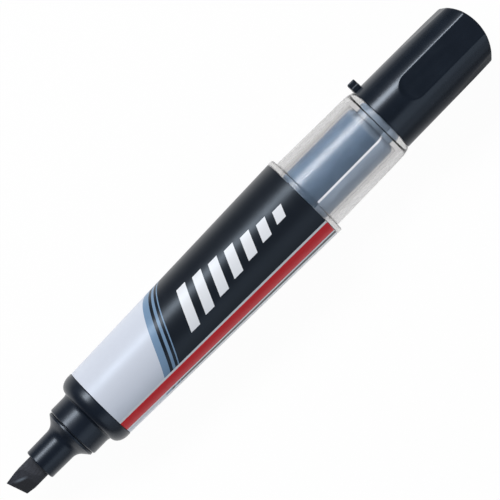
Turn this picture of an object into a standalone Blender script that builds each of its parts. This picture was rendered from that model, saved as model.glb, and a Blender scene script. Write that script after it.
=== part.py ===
"""Cartridge whiteboard marker, lying on its side with the cap posted on its tail.

The marker's axis runs along X: the nib points to -X and the cap to +X. Lengths are
measured along the axis from the point of the nib. Units are metres, with +Z up, and
the ground under the marker is z = 0.
"""

import math

import bmesh
import bpy

MM = 0.001

# Facets round the large and the small turned pieces
SIDES = 40
SMALL_SIDES = 24
ARC_STEPS = 5
WELD = 0.001 * MM

# Clearances
FACE_GAP = 0.1 * MM
FIT_GAP = 0.15 * MM
FILM_GAP = 0.05 * MM
OVERCUT = 1.0 * MM

# Chisel nib
NIB_WIDTH = 5.2 * MM
NIB_THICKNESS = 3.9 * MM
NIB_CORNER = 1.1 * MM
NIB_EXPOSED = 7.5 * MM
NIB_HELD = 13.5 * MM
NIB_SKEW = 1.5 * MM
NIB_BEVEL = 4.4 * MM
NIB_TIP_WIDTH = 4.3 * MM
NIB_TIP_THICKNESS = 0.8 * MM

# Nib holder: sleeve, flare and the plug that is pressed into the front collar
SLEEVE_WALL = 1.05 * MM
SLEEVE_LENGTH = 5.9 * MM
SLEEVE_DRAFT = 0.1 * MM
SLEEVE_EDGE = 0.25 * MM
FLARE_LENGTH = 3.5 * MM
FLARE_FILLET = 2.6 * MM
FLARE_ANGLE = math.radians(43.0)
PLUG_LENGTH = 10.5 * MM
PLUG_WALL = 1.2 * MM

# Front collar: the seat that the cap seals on, the rounded collar and its spigot
CAP_FIT_DIAMETER = 12.55 * MM
SEAT_LEAD = 0.25 * MM
SEAT_LEAD_LENGTH = 0.8 * MM
SEAT_LENGTH = 4.7 * MM
SEAT_FILLET = 0.35 * MM
SEAT_FILLET_LENGTH = 1.2 * MM
COLLAR_PROUD = 0.08 * MM
COLLAR_LENGTH = 3.6 * MM
COLLAR_ROUND = 2.8 * MM
SPIGOT_LENGTH = 8.2 * MM

# Barrel and the printed film round it
LABEL_FRONT_DIAMETER = 17.06 * MM
LABEL_REAR_DIAMETER = 20.0 * MM
LABEL_THICKNESS = 0.15 * MM
BARREL_LENGTH = 58.8 * MM
BARREL_WALL = 1.1 * MM
LEDGE_WIDTH = 0.9 * MM
LEDGE_LENGTH = 1.2 * MM

# Wick, comb collector and piercing tube
WICK_DIAMETER = 3.0 * MM
NOSE_WALL = 1.3 * MM
NOSE_PROUD = 0.5 * MM
CORE_WALL = 1.8 * MM
FIN_COUNT = 11
FIN_PITCH = 1.8 * MM
FIN_THICKNESS = 0.8 * MM
FRONT_DISC = 1.5 * MM
REAR_DISC = 2.2 * MM
SLIT_WIDTH = 0.8 * MM
TUBE_DIAMETER = 4.0 * MM
TUBE_WALL = 0.7 * MM
TUBE_SEAT = 4.0 * MM
TUBE_BEVEL = math.radians(35.0)

# Ink cartridge
CARTRIDGE_DIAMETER = 13.4 * MM
CARTRIDGE_WALL = 0.6 * MM
CARTRIDGE_PLAY = 0.55 * MM
NECK_CLEARANCE = 1.6 * MM
NECK_LENGTH = 5.0 * MM
NECK_WALL = 0.6 * MM
CONE_LENGTH = 3.0 * MM
SEAL_WALL = 0.9 * MM
SEAL_FLANGE = 0.8 * MM
SEAL_LENGTH = 4.0 * MM
END_PLUG_DEPTH = 1.6 * MM
END_PLUG_FLANGE = 0.8 * MM
END_PLUG_ROUND = 0.7 * MM

# Clear tail: threaded spigot, flange, body, shoulder and the stub that holds the cap
THREAD_LENGTH = 7.0 * MM
THREAD_WALL = 0.85 * MM
THREAD_LEAD_IN = 0.4 * MM
FLANGE_PROUD = 0.13 * MM
FLANGE_LENGTH = 1.15 * MM
FLANGE_EDGE = 0.3 * MM
TAIL_LENGTH = 18.1 * MM
TAIL_WALL = 1.2 * MM
TAIL_TAPER = 0.3 * MM
SHOULDER_LENGTH = 3.4 * MM
SHOULDER_INSET = 0.1 * MM
SEAT_FLOOR = 1.5 * MM
STUB_LENGTH = 5.0 * MM
STUB_WALL = 0.9 * MM
STUB_ROUND = 0.8 * MM

# Cap
CAP_LENGTH = 27.6 * MM
CAP_WALL = 0.75 * MM
CAP_TAPER = 0.26 * MM
CAP_RIM_EDGE = 0.2 * MM
CAP_CAVITY = 23.0 * MM
CAP_END_ROUND = 0.7 * MM
CAP_END_ROUND_LENGTH = 0.8 * MM
VAULT_RADIUS = 11.1 * MM
THUMB_START = 0.7 * MM
THUMB_RAMP = 2.6 * MM
THUMB_DEPTH_FRONT = 0.63 * MM
THUMB_DEPTH_REAR = 0.57 * MM
THUMB_WIDTH = 7.4 * MM
SIDE_FLAT_LENGTH = 7.1 * MM
SIDE_FLAT_DEPTH = 0.2 * MM
TAB_LENGTH = 1.9 * MM
TAB_WIDTH = 3.2 * MM
TAB_HEIGHT = 2.0 * MM
TAB_FOOT_WIDTH = 4.6 * MM
TAB_FOOT_HEIGHT = 0.85 * MM
TAB_ROUND = 0.5 * MM

# Liner pressed into the cap
LINER_WALL = 0.5 * MM
LINER_LIP = 0.8 * MM
STUB_PLAY = 0.3 * MM

# Radii that follow from the sizes above
LABEL_FRONT_RADIUS = LABEL_FRONT_DIAMETER / 2
LABEL_REAR_RADIUS = LABEL_REAR_DIAMETER / 2
FILM_BUILD = LABEL_THICKNESS + FILM_GAP
BARREL_FRONT_RADIUS = LABEL_FRONT_RADIUS - FILM_BUILD
BARREL_REAR_RADIUS = LABEL_REAR_RADIUS - FILM_BUILD
FRONT_BORE = BARREL_FRONT_RADIUS - BARREL_WALL
COLLAR_RADIUS = LABEL_FRONT_RADIUS + COLLAR_PROUD
FLANGE_RADIUS = LABEL_REAR_RADIUS + FLANGE_PROUD
SLEEVE_RADIUS = NIB_WIDTH / 2 + SLEEVE_WALL
FIT_RADIUS = CAP_FIT_DIAMETER / 2
PLUG_RADIUS = FIT_RADIUS - PLUG_WALL - FIT_GAP
WICK_RADIUS = WICK_DIAMETER / 2
WICK_BORE = WICK_RADIUS + FIT_GAP
NOSE_RADIUS = WICK_BORE + NOSE_WALL
CORE_RADIUS = WICK_BORE + CORE_WALL
FIN_RADIUS = FRONT_BORE - FIT_GAP
TUBE_RADIUS = TUBE_DIAMETER / 2
SEAL_BORE = TUBE_RADIUS + FIT_GAP
SEAL_RADIUS = SEAL_BORE + SEAL_WALL
NECK_BORE = SEAL_RADIUS + FIT_GAP
NECK_RADIUS = NECK_BORE + NECK_WALL
CARTRIDGE_RADIUS = CARTRIDGE_DIAMETER / 2
CARTRIDGE_BORE = CARTRIDGE_RADIUS - CARTRIDGE_WALL
HOUSING_BORE = CARTRIDGE_RADIUS + CARTRIDGE_PLAY
THREAD_RADIUS = HOUSING_BORE + THREAD_WALL
TAIL_REAR_RADIUS = HOUSING_BORE + TAIL_WALL
TAIL_FRONT_RADIUS = TAIL_REAR_RADIUS + TAIL_TAPER
LINER_BORE = FIT_RADIUS + FIT_GAP
LINER_RADIUS = LINER_BORE + LINER_WALL
CAP_MOUTH_BORE = LINER_RADIUS + FACE_GAP
CAP_RIM_RADIUS = CAP_MOUTH_BORE + CAP_WALL + CAP_RIM_EDGE / 2
CAP_END_RADIUS = CAP_RIM_RADIUS - CAP_TAPER
THUMB_FRONT_HEIGHT = CAP_RIM_RADIUS - THUMB_DEPTH_FRONT
THUMB_REAR_HEIGHT = CAP_END_RADIUS - THUMB_DEPTH_REAR
CAP_DEEP_BORE = THUMB_REAR_HEIGHT - CAP_WALL
LINER_DEEP_RADIUS = CAP_DEEP_BORE - FACE_GAP
LINER_DEEP_BORE = LINER_DEEP_RADIUS - LINER_WALL
SHOULDER_RADIUS = CAP_RIM_RADIUS - SHOULDER_INSET

# Stations along the axis that follow from the sizes above
SLEEVE_FRONT = NIB_EXPOSED
PLUG_FRONT = SLEEVE_FRONT + SLEEVE_LENGTH + FLARE_LENGTH
PLUG_REAR = PLUG_FRONT + PLUG_LENGTH
NIB_REAR = SLEEVE_FRONT + NIB_HELD
WICK_FRONT = NIB_REAR + FACE_GAP
NOSE_FRONT = WICK_FRONT + NOSE_PROUD
COLLAR_SEAT_FRONT = PLUG_FRONT + FACE_GAP
COLLAR_FRONT = COLLAR_SEAT_FRONT + SEAT_LENGTH
COLLAR_REAR = COLLAR_FRONT + COLLAR_LENGTH
SPIGOT_REAR = COLLAR_REAR + SPIGOT_LENGTH
BARREL_FRONT = COLLAR_REAR + FACE_GAP
BARREL_REAR = BARREL_FRONT + BARREL_LENGTH
COMB_FRONT = SPIGOT_REAR + FACE_GAP
COMB_LENGTH = FRONT_DISC + FIN_COUNT * FIN_PITCH + FIN_PITCH - FIN_THICKNESS + REAR_DISC
COMB_REAR = COMB_FRONT + COMB_LENGTH
TUBE_FRONT = COMB_REAR - TUBE_SEAT + FACE_GAP
WICK_REAR = TUBE_FRONT - FACE_GAP
LEDGE_FRONT = COMB_REAR + FACE_GAP
LEDGE_REAR = LEDGE_FRONT + LEDGE_LENGTH
SEAL_FRONT = LEDGE_REAR + NECK_CLEARANCE
NECK_FRONT = SEAL_FRONT + SEAL_FLANGE + FACE_GAP
TUBE_REAR = NECK_FRONT + NECK_LENGTH
FLANGE_FRONT = BARREL_REAR + FACE_GAP
TAIL_FRONT = FLANGE_FRONT + FLANGE_LENGTH
SHOULDER_FRONT = TAIL_FRONT + TAIL_LENGTH
SHOULDER_REAR = SHOULDER_FRONT + SHOULDER_LENGTH
CARTRIDGE_SEAT = SHOULDER_REAR - SEAT_FLOOR
CARTRIDGE_REAR = CARTRIDGE_SEAT - FACE_GAP
CAP_RIM = SHOULDER_REAR + FACE_GAP
CAP_MOUTH = STUB_LENGTH + STUB_PLAY + LINER_WALL
OVERALL_LENGTH = CAP_RIM + CAP_LENGTH

# The flange's lowest facet lies on the ground
AXIS_HEIGHT = FLANGE_RADIUS * math.cos(math.pi / SIDES)


def swell(start, end):
    """Points of a quarter ellipse that leaves start square to the axis and meets end along it."""
    points = []
    for step in range(ARC_STEPS + 1):
        turn = step / ARC_STEPS * math.pi / 2
        x = start[0] + (end[0] - start[0]) * (1 - math.cos(turn))
        radius = start[1] + (end[1] - start[1]) * math.sin(turn)
        points.append((x, radius))
    return points


def curl(start, end):
    """Points of a quarter ellipse that leaves start along the axis and meets end square to it."""
    return list(reversed(swell(end, start)))


def turned(outline, sides=SIDES):
    """Turn an outline of (x, radius) points once about X, with a facet straight below."""
    shape = bmesh.new()
    facet = math.pi / sides
    loop = [shape.verts.new((x, -r * math.sin(facet), -r * math.cos(facet))) for x, r in outline]
    pairs = list(zip(loop, loop[1:]))
    if outline[0][1] > 0 or outline[-1][1] > 0:
        pairs.append((loop[-1], loop[0]))
    edges = [shape.edges.new(pair) for pair in pairs]
    bmesh.ops.spin(
        shape, geom=loop + edges, cent=(0, 0, 0), axis=(1, 0, 0),
        angle=2 * math.pi, steps=sides, use_merge=True,
    )
    bmesh.ops.remove_doubles(shape, verts=shape.verts, dist=WELD)
    bmesh.ops.recalc_face_normals(shape, faces=shape.faces)
    return shape


def rounded_section(width, thickness, corner):
    """Points (y, z) of a rectangle with round corners, centred on the axis."""
    points = []
    for quarter in range(4):
        y_side = 1 if quarter in (0, 3) else -1
        z_side = 1 if quarter in (0, 1) else -1
        for step in range(ARC_STEPS):
            turn = (quarter + step / (ARC_STEPS - 1)) * math.pi / 2
            y = y_side * (width / 2 - corner) + corner * math.cos(turn)
            z = z_side * (thickness / 2 - corner) + corner * math.sin(turn)
            points.append((y, z))
    return points


def lofted(loops):
    """Solid through closed loops of 3-D points, each with as many points as the next."""
    shape = bmesh.new()
    rings = [[shape.verts.new(point) for point in loop] for loop in loops]
    for ring, after in zip(rings, rings[1:]):
        for index in range(len(ring)):
            follow = (index + 1) % len(ring)
            shape.faces.new((ring[index], ring[follow], after[follow], after[index]))
    shape.faces.new(rings[0])
    shape.faces.new(rings[-1])
    bmesh.ops.recalc_face_normals(shape, faces=shape.faces)
    return shape


def block(low, high):
    """Box between two corners."""
    corners = [(low[1], low[2]), (high[1], low[2]), (high[1], high[2]), (low[1], high[2])]
    return lofted([[(x, y, z) for y, z in corners] for x in (low[0], high[0])])


def finish(name, colour, roughness, alpha=1.0):
    """Plain plastic, felt or ink."""
    material = bpy.data.materials.new(name)
    material.use_nodes = True
    shader = material.node_tree.nodes["Principled BSDF"]
    shader.inputs["Base Color"].default_value = (*colour, 1.0)
    shader.inputs["Roughness"].default_value = roughness
    shader.inputs["Metallic"].default_value = 0.0
    shader.inputs["Alpha"].default_value = alpha
    return material


def add_axis(name, parent=None):
    """Empty on the marker's axis that a body's pieces hang from."""
    axis = bpy.data.objects.new(name, None)
    bpy.context.scene.collection.objects.link(axis)
    axis.parent = parent
    return axis


def add_piece(name, shape, material, axis, x=0.0):
    """Turn a bmesh into a named object on an axis, with its own datum at station x."""
    mesh = bpy.data.meshes.new(name)
    shape.to_mesh(mesh)
    shape.free()
    mesh.shade_smooth()
    mesh.set_sharp_from_angle(angle=math.radians(30.0))
    mesh.materials.append(material)
    piece = bpy.data.objects.new(name, mesh)
    bpy.context.scene.collection.objects.link(piece)
    piece.parent = axis
    piece.location.x = x
    return piece


def shape_with(piece, tool_name, shape, operation):
    """Cut, trim or join a piece with a hidden tool that shares its datum."""
    tool = add_piece(tool_name, shape, piece.data.materials[0], piece.parent, piece.location.x)
    tool.hide_render = True
    tool.display_type = "WIRE"
    modifier = piece.modifiers.new(tool_name, "BOOLEAN")
    modifier.operation = operation
    modifier.solver = "EXACT"
    modifier.object = tool


def add_nib(axis):
    """Felt chisel: a flat rod with a skewed, bevelled writing edge."""
    skew = NIB_SKEW / NIB_TIP_WIDTH
    tip = rounded_section(NIB_TIP_WIDTH, NIB_TIP_THICKNESS, NIB_TIP_THICKNESS / 2.5)
    rod = rounded_section(NIB_WIDTH, NIB_THICKNESS, NIB_CORNER)
    loops = [
        [((NIB_TIP_WIDTH / 2 - y) * skew, y, z) for y, z in tip],
        [(NIB_BEVEL + (NIB_TIP_WIDTH / 2 - y) * skew, y, z) for y, z in rod],
        [(NIB_REAR, y, z) for y, z in rod],
    ]
    felt = finish("inked_felt", (0.012, 0.012, 0.014), 0.85)
    add_piece("nib", lofted(loops), felt, axis)


def add_nib_holder(axis, black):
    """Sleeve and flare round the nib, with the plug that the front collar holds."""
    root = SLEEVE_RADIUS + SLEEVE_DRAFT
    outline = [(0, 0), (0, SLEEVE_RADIUS - SLEEVE_EDGE), (SLEEVE_EDGE, SLEEVE_RADIUS)]
    for step in range(ARC_STEPS + 1):
        turn = step / ARC_STEPS * FLARE_ANGLE
        x = SLEEVE_LENGTH + FLARE_FILLET * math.sin(turn)
        outline.append((x, root + FLARE_FILLET * (1 - math.cos(turn))))
    plug_front = PLUG_FRONT - SLEEVE_FRONT
    plug_rear = PLUG_REAR - SLEEVE_FRONT
    nose_bore = NOSE_RADIUS + FIT_GAP
    nose_floor = NIB_REAR - SLEEVE_FRONT
    outline += [
        (plug_front, FIT_RADIUS - SEAT_LEAD),
        (plug_front, PLUG_RADIUS),
        (plug_rear, PLUG_RADIUS),
        (plug_rear, nose_bore),
        (nose_floor, nose_bore),
        (nose_floor, 0),
    ]
    holder = add_piece("nib_holder", turned(outline), black, axis, SLEEVE_FRONT)
    section = rounded_section(NIB_WIDTH + 2 * FIT_GAP, NIB_THICKNESS + 2 * FIT_GAP, NIB_CORNER + FIT_GAP)
    ends = (-OVERCUT, nose_floor + OVERCUT)
    socket = lofted([[(x, y, z) for y, z in section] for x in ends])
    shape_with(holder, "nib_socket", socket, "DIFFERENCE")


def add_front_collar(axis, black):
    """Seat that the cap seals on, rounded collar, and spigot into the barrel."""
    rear = COLLAR_REAR - COLLAR_SEAT_FRONT
    spigot_rear = SPIGOT_REAR - COLLAR_SEAT_FRONT
    spigot = FRONT_BORE - FIT_GAP
    bore = PLUG_RADIUS + FIT_GAP
    foot = FIT_RADIUS + SEAT_FILLET
    outline = [(0, bore), (0, FIT_RADIUS - SEAT_LEAD), (SEAT_LEAD_LENGTH, FIT_RADIUS)]
    outline += curl((SEAT_LENGTH - SEAT_FILLET_LENGTH, FIT_RADIUS), (SEAT_LENGTH, foot))
    outline += swell((SEAT_LENGTH, foot), (SEAT_LENGTH + COLLAR_ROUND, COLLAR_RADIUS))[1:]
    outline += [
        (rear, COLLAR_RADIUS),
        (rear, spigot),
        (spigot_rear, spigot),
        (spigot_rear, bore),
    ]
    add_piece("front_collar", turned(outline), black, axis, COLLAR_SEAT_FRONT)


def add_barrel(axis):
    """Tapered tube: the comb's chamber, a ledge, the cartridge's room and the thread's bore."""
    ledge_front = LEDGE_FRONT - BARREL_FRONT
    ledge_rear = LEDGE_REAR - BARREL_FRONT
    thread_front = BARREL_LENGTH - THREAD_LENGTH
    thread_bore = THREAD_RADIUS + FIT_GAP
    outline = [
        (0, FRONT_BORE),
        (0, BARREL_FRONT_RADIUS),
        (BARREL_LENGTH, BARREL_REAR_RADIUS),
        (BARREL_LENGTH, thread_bore),
        (thread_front, thread_bore),
        (thread_front, HOUSING_BORE),
        (ledge_rear, HOUSING_BORE),
        (ledge_rear, FRONT_BORE - LEDGE_WIDTH),
        (ledge_front, FRONT_BORE - LEDGE_WIDTH),
        (ledge_front, FRONT_BORE),
    ]
    add_piece("barrel", turned(outline), finish("pale_plastic", (0.72, 0.73, 0.75), 0.4), axis, BARREL_FRONT)


def add_label(axis):
    """Printed film wrapped round the whole barrel."""
    outline = [
        (0, LABEL_FRONT_RADIUS - LABEL_THICKNESS),
        (0, LABEL_FRONT_RADIUS),
        (BARREL_LENGTH, LABEL_REAR_RADIUS),
        (BARREL_LENGTH, LABEL_REAR_RADIUS - LABEL_THICKNESS),
    ]
    add_piece("label_film", turned(outline), finish("dark_film", (0.02, 0.023, 0.03), 0.35), axis, BARREL_FRONT)


def add_wick(axis):
    """Fibre rod that brings the ink from the piercing tube to the nib."""
    outline = [(0, 0), (0, WICK_RADIUS), (WICK_REAR - WICK_FRONT, WICK_RADIUS), (WICK_REAR - WICK_FRONT, 0)]
    fibre = finish("wick_fibre", (0.05, 0.05, 0.055), 0.9)
    add_piece("feed_wick", turned(outline, SMALL_SIDES), fibre, axis, WICK_FRONT)


def add_collector(axis):
    """Comb whose fins hold the ink that warms and swells out of the cartridge."""
    comb = COMB_FRONT - NOSE_FRONT
    rear = COMB_REAR - NOSE_FRONT
    outline = [(0, WICK_BORE), (0, NOSE_RADIUS), (comb, NOSE_RADIUS), (comb, FIN_RADIUS)]
    outline += [(comb + FRONT_DISC, FIN_RADIUS), (comb + FRONT_DISC, CORE_RADIUS)]
    first_fin = comb + FRONT_DISC + FIN_PITCH - FIN_THICKNESS
    for fin in range(FIN_COUNT):
        front = first_fin + fin * FIN_PITCH
        back = front + FIN_THICKNESS
        outline += [(front, CORE_RADIUS), (front, FIN_RADIUS), (back, FIN_RADIUS), (back, CORE_RADIUS)]
    seat = rear - TUBE_SEAT
    outline += [
        (rear - REAR_DISC, CORE_RADIUS),
        (rear - REAR_DISC, FIN_RADIUS),
        (rear, FIN_RADIUS),
        (rear, TUBE_RADIUS + FIT_GAP),
        (seat, TUBE_RADIUS + FIT_GAP),
        (seat, WICK_BORE),
    ]
    resin = finish("collector_resin", (0.6, 0.62, 0.63), 0.45)
    collector = add_piece("ink_collector", turned(outline, SMALL_SIDES), resin, axis, NOSE_FRONT)
    slit = block(
        (first_fin - OVERCUT / 2, -SLIT_WIDTH / 2, CORE_RADIUS),
        (rear - REAR_DISC - OVERCUT / 2, SLIT_WIDTH / 2, FIN_RADIUS + OVERCUT),
    )
    shape_with(collector, "air_slit", slit, "DIFFERENCE")


def add_piercing_tube(axis):
    """Tube with a slanted tip that opens the cartridge's seal."""
    length = TUBE_REAR - TUBE_FRONT
    bore = TUBE_RADIUS - TUBE_WALL
    shape = turned([(0, bore), (0, TUBE_RADIUS), (length, TUBE_RADIUS), (length, bore)], SMALL_SIDES)
    for vertex in shape.verts:
        if vertex.co.x > length / 2:
            vertex.co.x += (vertex.co.z - TUBE_RADIUS) * math.tan(TUBE_BEVEL)
    add_piece("piercing_tube", shape, finish("tube_resin", (0.75, 0.76, 0.77), 0.35), axis, TUBE_FRONT)


def add_cartridge(axis):
    """Bottle with its neck seal, its welded end plug and the ink in it."""
    length = CARTRIDGE_REAR - END_PLUG_FLANGE - FACE_GAP - NECK_FRONT
    cone_rear = NECK_LENGTH + CONE_LENGTH
    bottle = [
        (0, NECK_BORE),
        (0, NECK_RADIUS),
        (NECK_LENGTH, NECK_RADIUS),
        (cone_rear, CARTRIDGE_RADIUS),
        (length, CARTRIDGE_RADIUS),
        (length, CARTRIDGE_BORE),
        (cone_rear + CARTRIDGE_WALL, CARTRIDGE_BORE),
        (NECK_LENGTH + CARTRIDGE_WALL, NECK_BORE),
    ]
    clear = finish("cartridge_resin", (0.62, 0.66, 0.7), 0.25, alpha=0.4)
    add_piece("cartridge_bottle", turned(bottle), clear, axis, NECK_FRONT)
    seal = [
        (0, SEAL_BORE),
        (0, NECK_RADIUS),
        (SEAL_FLANGE, NECK_RADIUS),
        (SEAL_FLANGE, SEAL_RADIUS),
        (SEAL_FLANGE + SEAL_LENGTH, SEAL_RADIUS),
        (SEAL_FLANGE + SEAL_LENGTH, SEAL_BORE),
    ]
    rubber = finish("seal_rubber", (0.03, 0.03, 0.033), 0.7)
    add_piece("cartridge_seal", turned(seal, SMALL_SIDES), rubber, axis, SEAL_FRONT)
    spigot = CARTRIDGE_BORE - FIT_GAP
    end_plug = [(0, 0), (0, spigot), (END_PLUG_DEPTH, spigot), (END_PLUG_DEPTH, CARTRIDGE_RADIUS)]
    plug_rear = END_PLUG_DEPTH + END_PLUG_FLANGE
    end_plug += curl(
        (plug_rear - END_PLUG_ROUND, CARTRIDGE_RADIUS), (plug_rear, CARTRIDGE_RADIUS - END_PLUG_ROUND)
    )
    end_plug.append((plug_rear, 0))
    grey = finish("end_plug_resin", (0.3, 0.33, 0.37), 0.3)
    add_piece("cartridge_end_plug", turned(end_plug), grey, axis, CARTRIDGE_REAR - plug_rear)
    ink_front = NECK_LENGTH + CARTRIDGE_WALL + FIT_GAP
    ink_rear = CARTRIDGE_REAR - plug_rear - FACE_GAP - NECK_FRONT
    ink = [
        (ink_front, 0),
        (ink_front, NECK_BORE - FIT_GAP),
        (cone_rear + CARTRIDGE_WALL + FIT_GAP, CARTRIDGE_BORE - FIT_GAP),
        (ink_rear, CARTRIDGE_BORE - FIT_GAP),
        (ink_rear, 0),
    ]
    add_piece("cartridge_ink", turned(ink), finish("black_ink", (0.015, 0.017, 0.022), 0.15), axis, NECK_FRONT)


def add_tail(axis):
    """Clear rear barrel: spigot, flange, tapered body, round shoulder and hollow stub."""
    body_front = FLANGE_LENGTH
    body_rear = body_front + TAIL_LENGTH
    shoulder = body_rear + SHOULDER_LENGTH
    stub_end = shoulder + STUB_LENGTH
    seat = CARTRIDGE_SEAT - FLANGE_FRONT
    spigot_front = -THREAD_LENGTH + FACE_GAP
    stub_bore = FIT_RADIUS - STUB_WALL
    outline = [
        (spigot_front, HOUSING_BORE),
        (spigot_front, THREAD_RADIUS - THREAD_LEAD_IN),
        (spigot_front + THREAD_LEAD_IN, THREAD_RADIUS),
        (0, THREAD_RADIUS),
        (0, FLANGE_RADIUS - FLANGE_EDGE),
        (FLANGE_EDGE, FLANGE_RADIUS),
        (body_front - FLANGE_EDGE, FLANGE_RADIUS),
        (body_front, FLANGE_RADIUS - FLANGE_EDGE),
        (body_front, TAIL_FRONT_RADIUS),
    ]
    outline += curl((body_rear, TAIL_REAR_RADIUS), (shoulder, SHOULDER_RADIUS))
    outline.append((shoulder, FIT_RADIUS))
    outline += curl((stub_end - STUB_ROUND, FIT_RADIUS), (stub_end, FIT_RADIUS - STUB_ROUND))
    outline += [
        (stub_end, 0),
        (stub_end - STUB_WALL, 0),
        (stub_end - STUB_WALL, stub_bore),
        (seat, stub_bore),
        (seat, HOUSING_BORE),
    ]
    start = outline.index((stub_end, 0)) + 1
    clear = finish("clear_resin", (0.82, 0.85, 0.88), 0.12, alpha=0.35)
    add_piece("tail_barrel", turned(outline[start:] + outline[:start]), clear, axis, FLANGE_FRONT)


def thumb_cutter(side):
    """Tool for one thumb flat: a ramp with a round front, then a floor that sinks to the rear."""
    floor_start = CAP_MOUTH + THUMB_START + THUMB_RAMP
    half = THUMB_WIDTH / 2
    slope = (THUMB_REAR_HEIGHT - THUMB_FRONT_HEIGHT) / (CAP_LENGTH - floor_start)
    rear = CAP_LENGTH + OVERCUT
    spread = THUMB_RAMP * OVERCUT / THUMB_DEPTH_FRONT
    floor, roof = [], []
    for step in range(2 * ARC_STEPS + 1):
        turn = math.pi / 2 + step / (2 * ARC_STEPS) * math.pi
        x = floor_start + half + half * math.cos(turn)
        y = half * math.sin(turn)
        floor.append((x, y, side * (THUMB_FRONT_HEIGHT + slope * (x - floor_start))))
        roof.append((x - spread * abs(math.cos(turn)), y, side * (THUMB_FRONT_HEIGHT + OVERCUT)))
    for y in (-half, half):
        floor.append((rear, y, side * (THUMB_FRONT_HEIGHT + slope * (rear - floor_start))))
        roof.append((rear, y, side * (THUMB_FRONT_HEIGHT + OVERCUT)))
    return lofted([floor, roof])


def end_vault():
    """Envelope that rounds the cap's end to an arc, seen along the thumb flats' normal."""
    centre = CAP_LENGTH - VAULT_RADIUS
    reach = math.asin(min(1.0, (CAP_RIM_RADIUS + OVERCUT) / VAULT_RADIUS))
    outline = [(-OVERCUT, VAULT_RADIUS * math.sin(reach)), (-OVERCUT, -VAULT_RADIUS * math.sin(reach))]
    arc = 4 * ARC_STEPS
    for step in range(arc + 1):
        turn = reach * (2 * step / arc - 1)
        outline.append((centre + VAULT_RADIUS * math.cos(turn), VAULT_RADIUS * math.sin(turn)))
    height = CAP_RIM_RADIUS + OVERCUT
    return lofted([[(x, y, z) for x, y in outline] for z in (-height, height)])


def add_cap(axis, black):
    """Cap shell with its vaulted end, thumb flats, side flats and the tab that stops it rolling."""
    outline = [
        (CAP_CAVITY, 0),
        (CAP_CAVITY, CAP_DEEP_BORE),
        (CAP_MOUTH, CAP_DEEP_BORE),
        (CAP_MOUTH, CAP_MOUTH_BORE),
        (0, CAP_MOUTH_BORE),
        (0, CAP_RIM_RADIUS - CAP_RIM_EDGE),
        (CAP_RIM_EDGE, CAP_RIM_RADIUS),
    ]
    outline += curl(
        (CAP_LENGTH - CAP_END_ROUND_LENGTH, CAP_END_RADIUS), (CAP_LENGTH, CAP_END_RADIUS - CAP_END_ROUND)
    )
    outline.append((CAP_LENGTH, 0))
    cap = add_piece("cap_shell", turned(outline), black, axis, CAP_RIM)
    shape_with(cap, "end_vault", end_vault(), "INTERSECT")
    for side, name in ((1, "thumb_flat_top"), (-1, "thumb_flat_bottom")):
        shape_with(cap, name, thumb_cutter(side), "DIFFERENCE")
    flat_front = CAP_LENGTH - SIDE_FLAT_LENGTH
    flat_face = CAP_END_RADIUS - SIDE_FLAT_DEPTH
    for side, name in ((1, "side_flat_left"), (-1, "side_flat_right")):
        y_low, y_high = sorted((side * flat_face, side * (flat_face + OVERCUT)))
        sides = block(
            (flat_front, y_low, -CAP_RIM_RADIUS), (CAP_LENGTH + OVERCUT, y_high, CAP_RIM_RADIUS)
        )
        shape_with(cap, name, sides, "DIFFERENCE")
    root = CAP_RIM_RADIUS - CAP_WALL / 2
    steps = (
        ("tab_foot", TAB_FOOT_WIDTH, TAB_FOOT_HEIGHT, TAB_LENGTH),
        ("tab", TAB_WIDTH, TAB_HEIGHT, TAB_LENGTH - TAB_ROUND / 2),
    )
    for name, width, height, length in steps:
        shape_with(cap, name, tab_block(root, width, CAP_RIM_RADIUS + height, length), "UNION")


def tab_block(root, width, top, length):
    """Block that stands on the cap's side, with its two outer corners rounded."""
    half = width / 2
    outline = [(half, root), (-half, root)]
    for side in (-1, 1):
        corner = [(side * half, top - TAB_ROUND), (side * (half - TAB_ROUND), top)]
        arc = curl((corner[0][1], corner[0][0]), (corner[1][1], corner[1][0]))
        rounded = [(z, y) for y, z in arc]
        outline += rounded if side < 0 else reversed(rounded)
    ends = (CAP_RIM_EDGE, CAP_RIM_EDGE + length)
    return lofted([[(x, y, z) for z, y in outline] for x in ends])


def add_liner(axis):
    """Cup in the cap that seals on the seat, or grips the stub when the cap is posted."""
    lip = LINER_LIP
    step = CAP_MOUTH - FACE_GAP
    end = CAP_CAVITY - FACE_GAP
    outline = [
        (end - LINER_WALL, 0),
        (end - LINER_WALL, LINER_DEEP_BORE),
        (step - LINER_WALL + FACE_GAP, LINER_DEEP_BORE),
        (step - LINER_WALL + FACE_GAP, LINER_BORE),
        (lip, LINER_BORE),
        (lip, LINER_RADIUS),
        (step, LINER_RADIUS),
        (step, LINER_DEEP_RADIUS),
        (end, LINER_DEEP_RADIUS),
        (end, 0),
    ]
    natural = finish("liner_resin", (0.78, 0.78, 0.76), 0.4)
    add_piece("cap_liner", turned(outline), natural, axis, CAP_RIM)


def main():
    """Clear the scene and build the marker, body by body."""
    for old in list(bpy.data.objects):
        bpy.data.objects.remove(old, do_unlink=True)
    black = finish("black_plastic", (0.016, 0.018, 0.023), 0.28)
    marker = add_axis("marker_axis")
    marker.location = (-OVERALL_LENGTH / 2, 0, AXIS_HEIGHT)
    add_nib(marker)
    add_nib_holder(marker, black)
    add_front_collar(marker, black)
    add_barrel(marker)
    add_label(marker)
    add_wick(marker)
    add_collector(marker)
    add_piercing_tube(marker)
    cartridge = add_axis("cartridge_axis", marker)
    add_cartridge(cartridge)
    tail = add_axis("tail_axis", cartridge)
    add_tail(tail)
    liner = add_axis("cap_pull_axis", tail)
    add_liner(liner)
    cap = add_axis("cap_turn_axis", liner)
    add_cap(cap, black)


main()
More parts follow.
